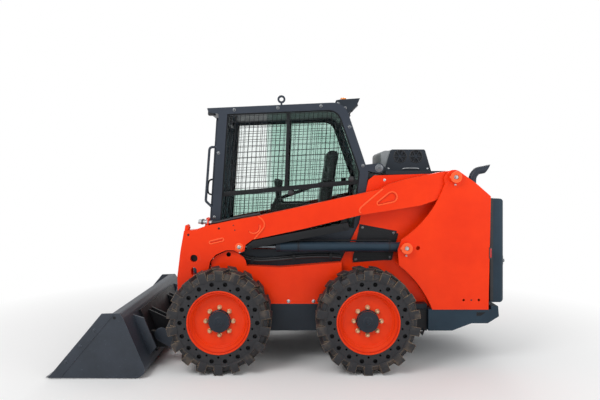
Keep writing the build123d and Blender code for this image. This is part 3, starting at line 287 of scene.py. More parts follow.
slot_material = {
    "body_paint": red, "frame_paint": dark_slate, "black_steel": black, "bucket_steel": bucket_steel,
    "edge_steel": bright_steel, "rod_chrome": chrome, "tyre": tyre_rubber, "glass": glass, "seat": vinyl,
    "plastic": plastic, "lamp_red": red_lens, "engine": cast_iron, "exhaust": burnt,
}
node_material = {
    "cab_frame": slate, "grab_handles": slate, "front_door": slate, "roof_lamps": dark_slate,
    "lift_barrel_left": blue_slate, "lift_barrel_right": blue_slate, "tilt_barrel_left": blue_slate,
    "tilt_barrel_right": blue_slate, "rear_door": blue_slate, "rear_bumper": blue_slate,
    "rim_front_left": rim_red, "rim_front_right": rim_red,
    "rim_rear_left": rim_red, "rim_rear_right": rim_red,
}
own_slot = {material.name: slot for slot, material in slot_material.items()}
for slot, others in (
    ("body_paint", (highlight_red, painted_shade_red, rim_red)), ("edge_steel", (silver, zinc)), ("tyre", (hose_rubber,)),
    ("plastic", (grey_plastic,)), ("lamp_red", (amber_lens,)), ("glass", (white_lens,)),
):
    own_slot.update({material.name: slot for material in others})
for entry in frame["record"]["subparts"]:
    node = frame["nodes"][entry["node"]]
    node.data.materials.clear()
    node.data.materials.append(node_material.get(entry["node"], slot_material[entry["material_slot"]]))


# Mesh helpers: shapes in millimetres, each added to an open bmesh
def top_frame(x, y, z):
    """Frame on a face that looks up."""
    return Matrix.Translation(Vector((x, y, z)) * MM)


def side_frame(x, out, z, side):
    """Frame on a side face, out from the middle: local X to the rear, local Y up, local Z outward."""
    return top_frame(x, side * out, z) @ Matrix(((1, 0, 0), (0, 0, side), (0, 1, 0))).to_4x4()


def aimed(x, y, z, direction):
    """Frame with its local Z along a direction."""
    turn = Vector(direction).to_track_quat("Z", "Y").to_matrix().to_4x4()
    return top_frame(x, y, z) @ turn


def shifted(place, x, y, z):
    """A frame moved along its own axes."""
    return place @ top_frame(x, y, z)


def meshes(count):
    """So many open meshes."""
    return [bmesh.new() for _ in range(count)]


def loop(bm, place, outline, height):
    """An outline's points at a height of the frame."""
    return [bm.verts.new(place @ (Vector((x, y, height)) * MM)) for x, y in outline]


def skin(bm, rings, around=False):
    """Faces between rings of as many points; around also joins the last ring to the first."""
    pairs = list(zip(rings, rings[1:]))
    if around:
        pairs.append((rings[-1], rings[0]))
    return [
        bm.faces.new((low[step - 1], low[step], high[step], high[step - 1]))
        for low, high in pairs for step in range(len(low))
    ]


def circle(x, y, radius, sides=32, start=0.0):
    """A round outline."""
    turns = [start + 2 * math.pi * step / sides for step in range(sides)]
    return [(x + radius * math.cos(turn), y + radius * math.sin(turn)) for turn in turns]


def lathe(bm, place, profile, sides=24, start=0.0, around=False):
    """Turn a profile of (radius, height) about the frame's Z axis, its ends left open."""
    rings = [loop(bm, place, circle(0, 0, radius, sides, start), height) for radius, height in profile]
    skin(bm, rings, around)
    return rings


def capped(bm, place, profile, sides=24, start=0.0):
    """A lathe form with both ends closed."""
    rings = lathe(bm, place, profile, sides, start)
    bm.faces.new(rings[0][::-1])
    bm.faces.new(rings[-1])


def ring(bm, place, profile, sides=48):
    """A lathe form whose profile is a closed loop."""
    lathe(bm, place, profile, sides, around=True)


def bead(bm, place, radius, wire, height, sides=64):
    """A round bead along a circle."""
    ring(bm, place, circle(radius, height, wire, 8), sides)


def soften(bm, faces, bevel):
    """Round the edges of some faces."""
    rims = list({edge for face in faces for edge in face.edges})
    bmesh.ops.bevel(bm, geom=rims, offset=bevel * MM, segments=2, profile=0.6, affect="EDGES")


def prism(bm, place, outline, low, high, bevel=0.0):
    """An outline of (x, y) pulled along the frame's Z, with its edges rounded."""
    floor, roof = loop(bm, place, outline, low), loop(bm, place, outline, high)
    faces = [bm.faces.new(floor[::-1]), bm.faces.new(roof)] + skin(bm, (floor, roof))
    if bevel:
        soften(bm, faces, bevel)


def filled(bm, place, outlines, height):
    """A flat face: the first outline is its rim, the others are holes. Returns the loops."""
    loops = [loop(bm, place, outline, height) for outline in outlines]
    rims = [bm.edges.new((spots[step - 1], spots[step])) for spots in loops for step in range(len(spots))]
    bmesh.ops.triangle_fill(bm, use_beauty=True, use_dissolve=False, edges=rims)
    return loops


def plate(bm, place, outlines, low, high):
    """A flat plate with holes."""
    for pair in zip(filled(bm, place, outlines, low), filled(bm, place, outlines, high)):
        skin(bm, pair)


def band(bm, place, outer, inner, low, high):
    """A closed frame between two outlines of as many points."""
    sections = ((outer, low), (outer, high), (inner, high), (inner, low))
    skin(bm, [loop(bm, place, outline, height) for outline, height in sections], True)


def rounded(width, height, radius, steps=5):
    """Outline of a rectangle with round corners."""
    outline = []
    for corner, (sx, sy) in enumerate(((1, 1), (-1, 1), (-1, -1), (1, -1))):
        for step in range(steps + 1):
            angle = math.pi / 2 * (corner + step / steps)
            outline.append((
                sx * (width / 2 - radius) + radius * math.cos(angle),
                sy * (height / 2 - radius) + radius * math.sin(angle),
            ))
    return outline


def tube(bm, path, radius, sides=12, smooth=0):
    """A round tube through points, each bend eased by corner cutting."""
    points = [Vector(point) * MM for point in path]
    for _ in range(smooth):
        eased = [points[0]]
        for one, two in zip(points, points[1:]):
            eased += [one.lerp(two, 0.25), one.lerp(two, 0.75)]
        points = eased + [points[-1]]
    along = (points[1] - points[0]).normalized()
    across = along.orthogonal().normalized()
    rings = []
    for step, point in enumerate(points):
        before, after = points[max(step - 1, 0)], points[min(step + 1, len(points) - 1)]
        heading = (after - before).normalized()
        across = (across - heading * across.dot(heading)).normalized()
        other = heading.cross(across)
        rings.append([
            bm.verts.new(point + (across * x + other * y) * MM) for x, y in circle(0, 0, radius, sides)
        ])
    skin(bm, rings)
    bm.faces.new(rings[0][::-1])
    bm.faces.new(rings[-1])


def hex_bolt(bm, place, width, height):
    """Hexagon head with a chamfered crown on a plain washer."""
    washer = 0.16 * height
    capped(bm, place, ((0.66 * width, 0), (0.68 * width, 0.6 * washer), (0.62 * width, washer)), 24)
    crown = ((0.5 * width, washer), (0.5 * width, 0.85 * height), (0.42 * width, height))
    capped(bm, place, crown, 6)


def dome_bolt(bm, place, width):
    """Round head on a washer."""
    capped(bm, place, ((0.62 * width, 0), (0.62 * width, 0.1 * width), (0.55 * width, 0.13 * width)), 24)
    turns = (0, 0.35, 0.7, 1.05, 1.4)
    capped(bm, place, [
        (0.48 * width * math.cos(turn), 0.13 * width + 0.34 * width * math.sin(turn)) for turn in turns
    ], 20)


def piece(name, bm, material, body, sharp=38.0):
    """Finish a bmesh as a piece of the scene that rides on a body, in its material."""
    bmesh.ops.recalc_face_normals(bm, faces=bm.faces)
    limit = math.radians(sharp)
    for face in bm.faces:
        face.smooth = True
    for edge in bm.edges:
        edge.smooth = len(edge.link_faces) == 2 and edge.calc_face_angle(math.pi) < limit
    mesh = bpy.data.meshes.new(name)
    bm.to_mesh(mesh)
    bm.free()
    mesh.materials.append(material)
    made = added(name, mesh)
    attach(made, body)
    return made


# Wheels: tyre with rounded lugs and sidewall holes, hub cap, nuts, rim beads and a dark ring of painted
# shade in the rim recess
AXLE_Z, WHEEL_Y = 419.0, 735.0
AXLES = (("front", -536.0), ("rear", 659.0))
TYRE_R, CARCASS_R, RIDGE_R, BEAD_R, TYRE_HALF = 419.0, 389.0, 349.0, 255.5, 145.0
LUGS, LUG_HALF = 18, math.asin(41.0 / 419.0)
HOLE_ROWS, HOLE_DEPTH = ((309.0, 18.5, 0.5), (274.0, 9.0, 0.0)), 38


def sidewall(bm, place):
    """Flat sidewall ring with two rows of blind holes."""
    face_h = TYRE_HALF - 5.0
    holes = []
    for count in range(LUGS):
        for radius, size, shift in HOLE_ROWS:
            angle = 2 * math.pi * (count + shift) / LUGS
            holes.append(circle(radius * math.sin(angle), radius * math.cos(angle), size, 14))
    rims = (circle(0, 0, RIDGE_R - 6, 72), circle(0, 0, BEAD_R, 72))
    for mouth in filled(bm, place, (*rims, *holes), face_h)[2:]:
        bottom = [bm.verts.new(spot.co - place.col[2].to_3d() * HOLE_DEPTH * MM) for spot in mouth]
        skin(bm, (mouth, bottom))
        bm.faces.new(bottom)


def lug(bm, place, turn):
    """One slanted lug from the shoulder to past the middle, with rounded edges."""
    ends = []
    for height, foot, skew, taper in ((TYRE_HALF, 332.0, 0.0, 0.9), (-12.0, 374.0, LUG_HALF, 0.82)):
        corners = []
        for radius, share in ((foot, -1), (TYRE_R - 0.8, -taper), (TYRE_R - 0.8, taper), (foot, 1)):
            angle = turn + skew + share * LUG_HALF
            corners.append((radius * math.sin(angle), radius * math.cos(angle)))
        ends.append(loop(bm, place, corners, height))
    outer, inner = ends
    soften(bm, [bm.faces.new(outer), bm.faces.new(inner[::-1])] + skin(bm, (inner, outer)), 6)


for end, axle_x in AXLES:
    for side_name, side in SIDES:
        corner = f"{end}_{side_name}"
        wheel = f"wheel_{corner}"
        hub = side_frame(axle_x, WHEEL_Y, AXLE_Z, side)
        back = side_frame(axle_x, -WHEEL_Y, AXLE_Z, -side)
        rubber_bm = bmesh.new()
        half_profile = (
            (RIDGE_R - 6, TYRE_HALF - 5), (RIDGE_R - 2, TYRE_HALF - 1.5), (RIDGE_R + 2, TYRE_HALF - 1.5),
            (RIDGE_R + 6, TYRE_HALF - 6), (RIDGE_R + 10, TYRE_HALF - 14), (CARCASS_R - 10, TYRE_HALF - 20),
            (CARCASS_R, TYRE_HALF - 30), (CARCASS_R, 0),
        )
        lathe(rubber_bm, hub, half_profile, 72)
        lathe(rubber_bm, back, half_profile, 72)
        lathe(rubber_bm, hub, ((BEAD_R, TYRE_HALF - 5), (BEAD_R, -TYRE_HALF + 5)), 72)
        sidewall(rubber_bm, hub)
        sidewall(rubber_bm, back)
        for count in range(LUGS):
            lug(rubber_bm, hub, 2 * math.pi * count / LUGS)
            lug(rubber_bm, back, 2 * math.pi * (count + 0.5) / LUGS)
        tyre = piece(f"tyre_detail_{corner}", rubber_bm, tyre_rubber, wheel, 30.0)
        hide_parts(f"tyre_{corner}")

        disc_h, hub_h = 73.0, 107.0
        cap_bm = bmesh.new()
        capped(cap_bm, hub, (
            (91, disc_h + 0.5), (91, disc_h + 6), (86.5, disc_h + 9), (86.5, hub_h - 2), (83, hub_h + 2),
            (44, hub_h + 2), (40, hub_h + 4), (40, hub_h + 6), (36, hub_h + 8), (20, hub_h + 8),
            (17, hub_h + 12), (12, hub_h + 13),
        ), 48)
        piece(f"hub_cap_{corner}", cap_bm, dark_slate, wheel)
        nut_bm = bmesh.new()
        for count in range(8):
            angle = 2 * math.pi * count / 8
            spot = shifted(hub, 111.5 * math.cos(angle), 111.5 * math.sin(angle), disc_h)
            capped(nut_bm, spot, ((20, 0), (20, 3), (15, 8)), 24)
            capped(nut_bm, spot, ((15, 8), (15, 22), (13, 25)), 6, angle)
            capped(nut_bm, spot, ((8, 25), (8, 33), (6, 35)), 16)
        piece(f"wheel_nuts_{corner}", nut_bm, zinc, wheel)
        lip_bm = bmesh.new()
        bead(lip_bm, hub, 249.0, 5.0, 139.5)
        bead(lip_bm, hub, 212.0, 3.5, 96.0)
        bead(lip_bm, hub, 200.5, 3.0, 74.0)
        piece(f"rim_beads_{corner}", lip_bm, rim_red, wheel, 60.0)
        # Dark red ring just inside the rim's face lip: painted shade of the recess.
        shade_ring_bm = bmesh.new()
        bead(shade_ring_bm, hub, 233.0, 4.0, 137.5)
        piece(f"rim_shade_ring_{corner}", shade_ring_bm, painted_shade_red, wheel, 60.0)

# Places in the side view that the added pieces share
LIFT_PIN, BASE_PIN, ROD_PIN, TUBE_PIN = (1425, 1583), (1011, 984), (-404, 988), (-789, 893)
BUCKET_PIN, TILT_TOP, TILT_EYE, TILT_Y = (-940, 190), (-860, 960), (-1030.3, 283.5), 330
BOSS_Y, TOWER_Y, ARM_Y, COVER_Y, ARM_MID_Y, PANEL_Y, SCREEN_Y = 639, 605, 575, 579, 520, 545, 459
BUCKET_Y, CUTTER_Y, DOOR_HANDLE_Y = 940, 946, 352


def painted_hole_shade(bm, place, radius):
    """A shallow black cup with a thin rim, painted shade standing for the mouth of a drilled hole."""
    ring(bm, place, ((radius, 0), (radius + 1.2, 0), (radius + 1.2, 0.5), (radius, 0.9)), 20)
    capped(bm, place, ((radius, 0), (radius, 0.3)), 20)


def nipple(bm, place, size):
    """Grease nipple: hexagon foot, neck and ball."""
    capped(bm, place, ((size, 0), (size, 0.7 * size)), 6)
    ball = ((0.6, 0.7), (0.6, 1.7), (0.8, 2.0), (0.5, 2.6))
    capped(bm, place, [(radius * size, height * size) for radius, height in ball], 12)


def moved(outline, x, y):
    """An outline shifted in its plane."""
    return [(x + dx, y + dy) for dx, dy in outline]


def side_path(points, y, side):
    """Side-view points as a path on a side face."""
    return [(x, side * y, z) for x, z in points]


def hull_loop(one, two, steps=10):
    """Closed outline round two circles, each given as x, z and radius."""
    heading = math.atan2(two[1] - one[1], two[0] - one[0])
    lean = math.acos((one[2] - two[2]) / math.dist(one[:2], two[:2]))
    outline = []
    for (x, z, radius), first, last in (
        (one, heading + lean, heading + 2 * math.pi - lean), (two, heading - lean, heading + lean),
    ):
        for step in range(steps + 1):
            angle = first + (last - first) * step / steps
            outline.append((x + radius * math.cos(angle), z + radius * math.sin(angle)))
    return outline + outline[:1]


# Towers: pin caps in the lighter red of painted highlight, with their bolts and nipples, panel bolts, and a
# black spot of painted shade for a drilled hole
for side_name, side in SIDES:
    cap_bm, bolt_bm, hole_shade_bm = meshes(3)
    for x, z in (LIFT_PIN, BASE_PIN):
        boss = side_frame(x, BOSS_Y, z, side)
        ring(cap_bm, boss, ((19, -1), (47, -1), (48.5, 2), (47, 6), (24, 8), (19, 5)), 48)
        prism(cap_bm, boss, moved(rounded(28, 17, 6), -42, 0), -1, 9, 1.5)
        hex_bolt(bolt_bm, boss, 26, 20)
        nipple(bolt_bm, side_frame(x, TOWER_Y, z - 64, side), 9)
    painted_hole_shade(hole_shade_bm, side_frame(1561.5, TOWER_Y, 544, side), 6)
    for x in (15, 230):
        dome_bolt(bolt_bm, side_frame(x, PANEL_Y, 522, side), 24)
    dome_bolt(bolt_bm, side_frame(828, TOWER_Y, 1560, side), 18)
    piece(f"pin_caps_{side_name}", cap_bm, highlight_red, "chassis")
    piece(f"tower_bolts_{side_name}", bolt_bm, silver, "chassis")
    piece(f"tower_hole_shades_{side_name}", hole_shade_bm, black, "chassis")

# Lift arms: weld beads, pressed marks and pin head rings in the lighter red of painted highlight, pin bolts,
# black spots of painted shade for drilled holes and the tube bore, and tabs
KNEE_SEAM = (
    (-243, 1252), (-209, 1225), (-195, 1207), (-188, 1184), (-191, 1160), (-202, 1143), (-274, 1058),
)
REAR_SEAM = ((818, 1483), (640, 1335), (621, 1312), (618, 1292), (632, 1276))
HOOK_MARK = (
    (-318, 1120), (-300, 1109), (-284, 1104), (-262, 1107), (-242, 1120), (-230, 1138), (-225, 1156),
    (-228, 1178),
)
for side_name, side in SIDES:
    weld_bm, bolt_bm, hole_shade_bm, tab_bm = meshes(4)
    for seam in (KNEE_SEAM, REAR_SEAM):
        tube(weld_bm, side_path(seam, ARM_Y + 2, side), 7, 8, 1)
    tube(weld_bm, side_path(HOOK_MARK, COVER_Y - 2, side), 7, 8, 1)
    tube(weld_bm, side_path(hull_loop((-548, 1052, 13), (-644, 1029, 13)), COVER_Y - 1, side), 5, 8)
    tube(weld_bm, side_path(hull_loop((895, 1415, 44), (785, 1362, 16)), COVER_Y - 1, side), 6.5, 8)
    for (x, z), low, high in ((ROD_PIN, 18, 35), (BUCKET_PIN, 18, 40)):
        head = side_frame(x, COVER_Y, z, side)
        ring(weld_bm, head, ((low, -1), (high, -1), (high, 3), (high - 3, 5), (low, 5)), 40)
        capped(bolt_bm, head, ((17, -1), (17, 3), (14, 5)), 32)
        hex_bolt(bolt_bm, head, 20, 13)
    nipple(bolt_bm, side_frame(ROD_PIN[0] + 6, COVER_Y, ROD_PIN[1] - 44, side), 6.5)
    nipple(bolt_bm, side_frame(BUCKET_PIN[0] + 4, COVER_Y, BUCKET_PIN[1] + 58, side), 6.5)
    for x, z, radius in ((-836, 1093, 8.5), (-576, 1148, 8), (-453, 1174, 4), (-441, 1133, 4)):
        painted_hole_shade(hole_shade_bm, side_frame(x, COVER_Y, z, side), radius)
    # A black disc set back in the cross tube's bore: painted shade.
    bore = side_frame(TUBE_PIN[0], ARM_Y - 34, TUBE_PIN[1], side)
    capped(hole_shade_bm, bore, ((31.8, 0), (31.8, 1)), 40)
    tab = side_frame(0, ARM_MID_Y, 0, side)
    ear = ((-873, 1120), (-846, 1124), (-836, 1146), (-843, 1170), (-853, 1178), (-866, 1172))
    prism(tab_bm, tab, ear, 18, 46, 4)
    prism(tab_bm, tab, ear, -46, -18, 4)
    piece(f"arm_welds_{side_name}", weld_bm, highlight_red, "lift_arm", 60)
    piece(f"arm_bolts_{side_name}", bolt_bm, silver, "lift_arm")
    piece(f"arm_hole_shades_{side_name}", hole_shade_bm, black, "lift_arm")
    piece(f"arm_tabs_{side_name}", tab_bm, red, "lift_arm")

# Couplers for attachments on the left arm's knee, with their bracket and hoses
plate_bm, coupler_bm, sleeve_bm, supply_bm = meshes(4)
prism(plate_bm, aimed(-668, -ARM_MID_Y, 1196, (-1, 0, 0.06)), rounded(92, 66, 22), 0, 9, 2.5)
for y, z in ((-542, 1197), (-498, 1199)):
    nozzle = aimed(-668, y, z, (-1, 0, 0.06))
    capped(coupler_bm, nozzle, (
        (13, -22), (13, 9), (19, 9), (19, 24), (16, 26), (16, 42), (20, 44), (20, 66), (17, 69), (17, 88),
        (11, 90),
    ), 24)
    ring(sleeve_bm, nozzle, ((19.5, 47), (22, 48), (22, 60), (19.5, 61)), 24)
    run = ((-650, -1), (-600, -2), (-520, 18), (-380, 48), (-230, 73))
    tube(supply_bm, [(x, y, z + rise) for x, rise in run], 11, 12, 2)
piece("coupler_bracket", plate_bm, red, "lift_arm")
piece("couplers", coupler_bm, silver, "lift_arm")
piece("coupler_sleeves", sleeve_bm, plastic, "lift_arm")
piece("coupler_hoses", supply_bm, hose_rubber, "lift_arm", 60)

# Hydraulic cylinders: gland nuts, clamp bands and hard lines, and hoses along the tub
LIFT_RUN = Vector((ROD_PIN[0] - BASE_PIN[0], 0, ROD_PIN[1] - BASE_PIN[1])).normalized()
TILT_RUN = Vector((TILT_EYE[0] - TILT_TOP[0], 0, TILT_EYE[1] - TILT_TOP[1])).normalized()
for side_name, side in SIDES:
    gland_bm, line_bm = meshes(2)
    barrel = aimed(BASE_PIN[0], side * ARM_MID_Y, BASE_PIN[1], LIFT_RUN)
    ring(gland_bm, barrel, (
        (23.5, 1098), (23.5, 1107), (38, 1107), (43.5, 1101), (43.5, 1066), (41, 1064), (41, 1098),
    ))
    for reach in (120, 900):
        ring(gland_bm, barrel, ((41, reach), (44.5, reach + 1), (44.5, reach + 19), (41, reach + 20)))
    steps = ((1030, 38), (1030, 50), (1006, 54), (150, 54), (122, 52), (116, 44))
    foot = Vector((BASE_PIN[0], side * ARM_MID_Y, BASE_PIN[1]))
    tube(line_bm, [foot + LIFT_RUN * reach + Vector((0, 0, up)) for reach, up in steps], 7, 10, 1)
    piece(f"lift_glands_{side_name}", gland_bm, dark_slate, f"lift_barrel_{side_name}")
    piece(f"lift_lines_{side_name}", line_bm, black, f"lift_barrel_{side_name}")
    gland_bm, hose_bm, clamp_bm = meshes(3)
    barrel = aimed(TILT_TOP[0], side * TILT_Y, TILT_TOP[1], TILT_RUN)
    ring(gland_bm, barrel, (
        (21, 439), (21, 446), (33, 446), (37.5, 441), (37.5, 408), (35, 406), (35, 439),
    ), 40)
    for reach in (70, 380):
        port = Vector((TILT_TOP[0], side * TILT_Y, TILT_TOP[1])) + reach * TILT_RUN
        capped(gland_bm, aimed(*port, (0, -side, 0)), ((15, 30), (15, 44), (10, 46), (10, 58), (8, 60)), 16)
    piece(f"tilt_glands_{side_name}", gland_bm, dark_slate, f"tilt_barrel_{side_name}")
    for y, low in ((455, 0), (482, 14)):
        tube(hose_bm, [(x, side * y, z - low) for x, z in (
            (-400, 905), (-330, 884), (-230, 872), (-60, 884), (120, 905), (330, 912), (470, 902),
        )], 12, 12, 2)
    for x, z in ((-300, 870), (60, 889), (380, 900)):
        prism(clamp_bm, side_frame(x, 440, z, side), rounded(26, 48, 8), 0, 58, 3)
    piece(f"tub_hoses_{side_name}", hose_bm, hose_rubber, "chassis", 60)
    piece(f"hose_clamps_{side_name}", clamp_bm, black, "chassis")

# Welded cover plates on the arms, lock strut, tie-downs, cooler nose and window bars
KNEE_COVER = (
    (-365, 953), (-359, 960), (-350, 1008), (-291, 1051), (-274, 1058), (-202, 1143), (-191, 1163),
    (-188, 1186), (-195, 1208), (-209, 1225), (-243, 1254), (-473, 1214), (-690, 1168), (-777, 1136),
    (-873, 1127), (-903, 958), (-929, 743), (-926, 598), (-1005, 200), (-1004, 178), (-996, 157),
    (-981, 140), (-962, 129), (-940, 125), (-918, 129), (-899, 140), (-884, 157), (-876, 178), (-875, 200),
    (-669, 785), (-652, 870), (-604, 923), (-517, 962), (-451, 962), (-405, 938),
)
REAR_COVER = (
    (835, 1505), (835, 1498), (628, 1326), (618, 1309), (620, 1291), (632, 1277), (652, 1265), (1134, 1342),
    (1262, 1384), (1455, 1523), (1472, 1546), (1483, 1568), (1484, 1593), (1475, 1616), (1457, 1634),
    (1434, 1642), (1409, 1641), (1304, 1627), (1014, 1565), (862, 1522),
)
LEG_WINDOW = hull_loop((-789, 792, 25), (-789, 770, 25), 8)[:-1]
TEARDROP = hull_loop((895, 1415, 42), (785, 1362, 14))[:-1]
TIE_DOWN = ((1098, 454), (1190, 454), (1190, 309), (1159, 233), (1116, 271))
SILL_BAR = ((-570, 1414), (628, 1525), (632, 1567), (-567, 1456))
SLIDE_BAR = ((-23, 1480), (5, 1482), (26, 2160), (-2, 2159))
CUTTER = ((-1859, 8), (-1761, 8), (-1345, 505), (-1443, 505))
HITCH = hull_loop((-946, 190, 66), (-1062, 250, 58))[:-1]
VENT_SCREEN = ((572, 842), (918, 868), (958, 1116), (634, 1176))
VENT_BOLTS = ((600, 866), (898, 888), (930, 1098), (658, 1146))
BACK_RIB = ((-1124, 121), (-1070, 181), (-1173, 421), (-1266, 450))
FENDER = (
    (-634, 780), (-648, 858), (-604, 912), (-517, 951), (-455, 951), (-408, 926), (-372, 900), (-352, 868),
    (-345, 834), (-345, 780),
)
POCKET = ((1607, 440), (1684, 440), (1643, 410), (1607, 410))
for side_name, side in SIDES:
    middle = side_frame(0, 0, 0, side)
    cover_bm, fender_bm, tie_bm, bar_bm, cutter_bm, pocket_bm = meshes(6)
    shade_line_bm, screw_bm = meshes(2)
    # Dark red lines beside the hook mark, the leg window and inside the teardrop: painted shade along the
    # pressed edges.
    tube(shade_line_bm, side_path(moved(HOOK_MARK, -9, 8), COVER_Y - 2, side), 5, 8, 1)
    tube(shade_line_bm, side_path(((-644, 1032), (-548, 1055)), COVER_Y - 3, side), 7, 8)
    tube(shade_line_bm, side_path(hull_loop((894, 1416, 34), (790, 1366, 8)), ARM_Y, side), 6, 8)
    for x, z in VENT_BOLTS:
        dome_bolt(screw_bm, side_frame(x, SCREEN_Y, z, side), 17)
    plate(cover_bm, middle, (KNEE_COVER, LEG_WINDOW, circle(*TUBE_PIN, 57)), ARM_Y, COVER_Y)
    plate(cover_bm, middle, (REAR_COVER, TEARDROP, circle(*LIFT_PIN, 26)), ARM_Y, COVER_Y)
    plate(fender_bm, middle, (FENDER, circle(-498, 922, 20)), PANEL_Y - 12, PANEL_Y + 0.4)
    plate(tie_bm, middle, (TIE_DOWN, circle(1154, 284, 17)), PANEL_Y, PANEL_Y + 18)
    prism(bar_bm, middle, SILL_BAR, 406.5, 417.5, 2)
    prism(bar_bm, middle, SLIDE_BAR, 406.5, 416.5, 2)
    prism(cutter_bm, middle, CUTTER, BUCKET_Y - 0.5, CUTTER_Y, 1.5)
    prism(cutter_bm, middle, BACK_RIB, 700, 720, 3)
    prism(cutter_bm, middle, HITCH, 583, 588, 1.5)
    # A thin black sheet set back in the tower plate's pocket: painted shade. The vent screen on the next
    # line is a real black panel.
    prism(pocket_bm, middle, POCKET, 599, 600.8)
    prism(pocket_bm, middle, VENT_SCREEN, SCREEN_Y - 3.6, SCREEN_Y)
    piece(f"arm_covers_{side_name}", cover_bm, red, "lift_arm")
    piece(f"arm_shade_lines_{side_name}", shade_line_bm, painted_shade_red, "lift_arm", 60)
    piece(f"vent_bolts_{side_name}", screw_bm, bright_steel, "chassis")
    piece(f"fender_plate_{side_name}", fender_bm, red, "chassis")
    piece(f"tie_down_{side_name}", tie_bm, black, "chassis")
    piece(f"window_bars_{side_name}", bar_bm, black, "cab")
    piece(f"bucket_cutter_{side_name}", cutter_bm, bucket_steel, "bucket")
    piece(f"vent_screens_and_pocket_shades_{side_name}", pocket_bm, black, "chassis")

strut_bm, nose_bm = meshes(2)
strut = side_frame(-342, ARM_MID_Y, 1000, LEFT) @ Matrix.Rotation(math.atan2(165, 872), 4, "Z")
STRUT_SIDE = ((0, -32), (887, -32), (887, 32), (64, 32), (0, 0))
for low in (-54.5, 48.5):
    prism(strut_bm, strut, STRUT_SIDE, low, low + 6, 1.5)
prism(strut_bm, strut, ((60, 25), (887, 25), (887, 31), (60, 31)), -49, 49, 1)
middle = side_frame(0, ARM_MID_Y, 0, LEFT)
for hanger in (
    ((-214, 1052), (-170, 1060), (-170, 1078), (-214, 1069)),
    ((466, 1180), (510, 1188), (510, 1233), (466, 1222)),
):
    prism(strut_bm, middle, hanger, -27, 27, 2)
for reach in (30, 850):
    for low, turn in ((54, 0), (-55, math.pi)):
        end = shifted(strut, reach, -6, low) @ Matrix.Rotation(turn, 4, "X")
        hex_bolt(strut_bm, end, 20, 9)
piece("arm_lock_strut", strut_bm, black, "lift_arm")
prism(nose_bm, side_frame(0, 0, 0, RIGHT), (
    (845, 1638), (876, 1638), (931, 1828), (885, 1828), (865, 1823), (850, 1808), (845, 1788),
), -290, 290, 4)
piece("cooler_nose", nose_bm, grey_plastic, "chassis")


# Exhaust: bent pipe with an open, slanted mouth
def open_pipe(bm, path, radius, wall, cut_spot, cut_facing):
    """A hollow pipe along a path in the side view, its end cut by a slanted plane."""
    points = [Vector(point) * MM for point in path]
    spot, facing = Vector(cut_spot) * MM, Vector(cut_facing).normalized()
    stations = [(point, radius) for point in points]
    stations += [(point, radius - wall) for point in reversed(points)]
    rings = []
    for step, (point, size) in enumerate(stations):
        at = min(step, len(stations) - 1 - step)
        heading = (points[min(at + 1, len(points) - 1)] - points[max(at - 1, 0)]).normalized()
        other = heading.cross(Vector((0, 1, 0)))
        turned = []
        for x, y in circle(0, 0, size, 28):
            place = point + (Vector((0, x, 0)) + other * y) * MM
            if at == len(points) - 1:
                place += heading * ((spot - place).dot(facing) / heading.dot(facing))
            turned.append(bm.verts.new(place))
        rings.append(turned)
    skin(bm, rings)
    for end in (rings[0], rings[-1]):
        bm.faces.new(end)


pipe_bm = bmesh.new()
PIPE_Y = -380
PIPE = (
    (1641, 1446), (1641, 1560), (1643, 1580), (1650, 1602), (1662, 1620), (1676, 1635), (1686, 1642),
    (1700, 1646), (1730, 1652), (1770, 1660),
)
open_pipe(pipe_bm, [(x, PIPE_Y, z) for x, z in PIPE], 34, 3, (1772, PIPE_Y, 1660), (0.85, 0, -0.53))
exhaust = piece("exhaust_bend", pipe_bm, slate, "chassis")
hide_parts("exhaust_pipe")

# Cab: frame bolts, latch knobs, pivot bolts, lamps and the beacon
CAB_Y, BAR_Y, BRACKET_Y = 440, 417, 400
CAB_BOLTS = ((-461, 2175), (-79, 2193), (298, 2210), (548, 2026), (664, 1686), (-600, 1797), (-636, 1235))
for side_name, side in SIDES:
    bolt_bm, knob_bm, housing_bm, lens_bm = meshes(4)
    for x, z in CAB_BOLTS:
        dome_bolt(bolt_bm, side_frame(x, CAB_Y, z, side), 22)
    for x, z in ((450, 2238), (514, 2198)):
        dome_bolt(bolt_bm, side_frame(x, BRACKET_Y, z, side), 20)
    pivot = side_frame(805, CAB_Y, 1665, side)
    capped(bolt_bm, pivot, ((34, -1), (34, 4), (28, 6)), 32)
    hex_bolt(bolt_bm, pivot, 36, 20)
    for x, z in ((32, 1447), (563, 1569)):
        capped(knob_bm, side_frame(x, BAR_Y, z, side), (
            (26, 0), (26, 9), (22, 13), (13, 14), (13, 20), (17, 22), (17, 28), (13, 31),
        ), 32)
    rear_lamp = aimed(594, side * 360, 2201, (0.71, 0, -0.70))
    prism(housing_bm, rear_lamp, rounded(74, 86, 14), -4, 9, 2)
    prism(lens_bm, rear_lamp, rounded(62, 74, 11), 8, 13, 2)
    front_lamp = aimed(-664, side * 392, 2148, (-1, 0, 0))
    prism(housing_bm, front_lamp, rounded(76, 32, 10), -26, 30, 5)
    prism(lens_bm, front_lamp, rounded(62, 20, 7), 29, 34, 2)
    piece(f"cab_bolts_{side_name}", bolt_bm, bright_steel, "cab")
    piece(f"cab_knobs_{side_name}", knob_bm, plastic, "cab")
    piece(f"lamp_housings_{side_name}", housing_bm, plastic, "cab")
    piece(f"lamp_lenses_{side_name}", lens_bm, white_lens, "cab")

foot_bm, dome_bm = meshes(2)
stand = top_frame(499, -360, 2273)
capped(foot_bm, stand, ((33, -6), (33, 2), (30, 4)), 32)
capped(dome_bm, stand, [(28, 4), (28, 10)] + [
    (28 * math.cos(turn), 10 + 14 * math.sin(turn)) for turn in (0.3, 0.6, 0.9, 1.2, 1.45)
], 32)
piece("beacon_foot", foot_bm, plastic, "cab")
piece("beacon_dome", dome_bm, amber_lens, "cab")

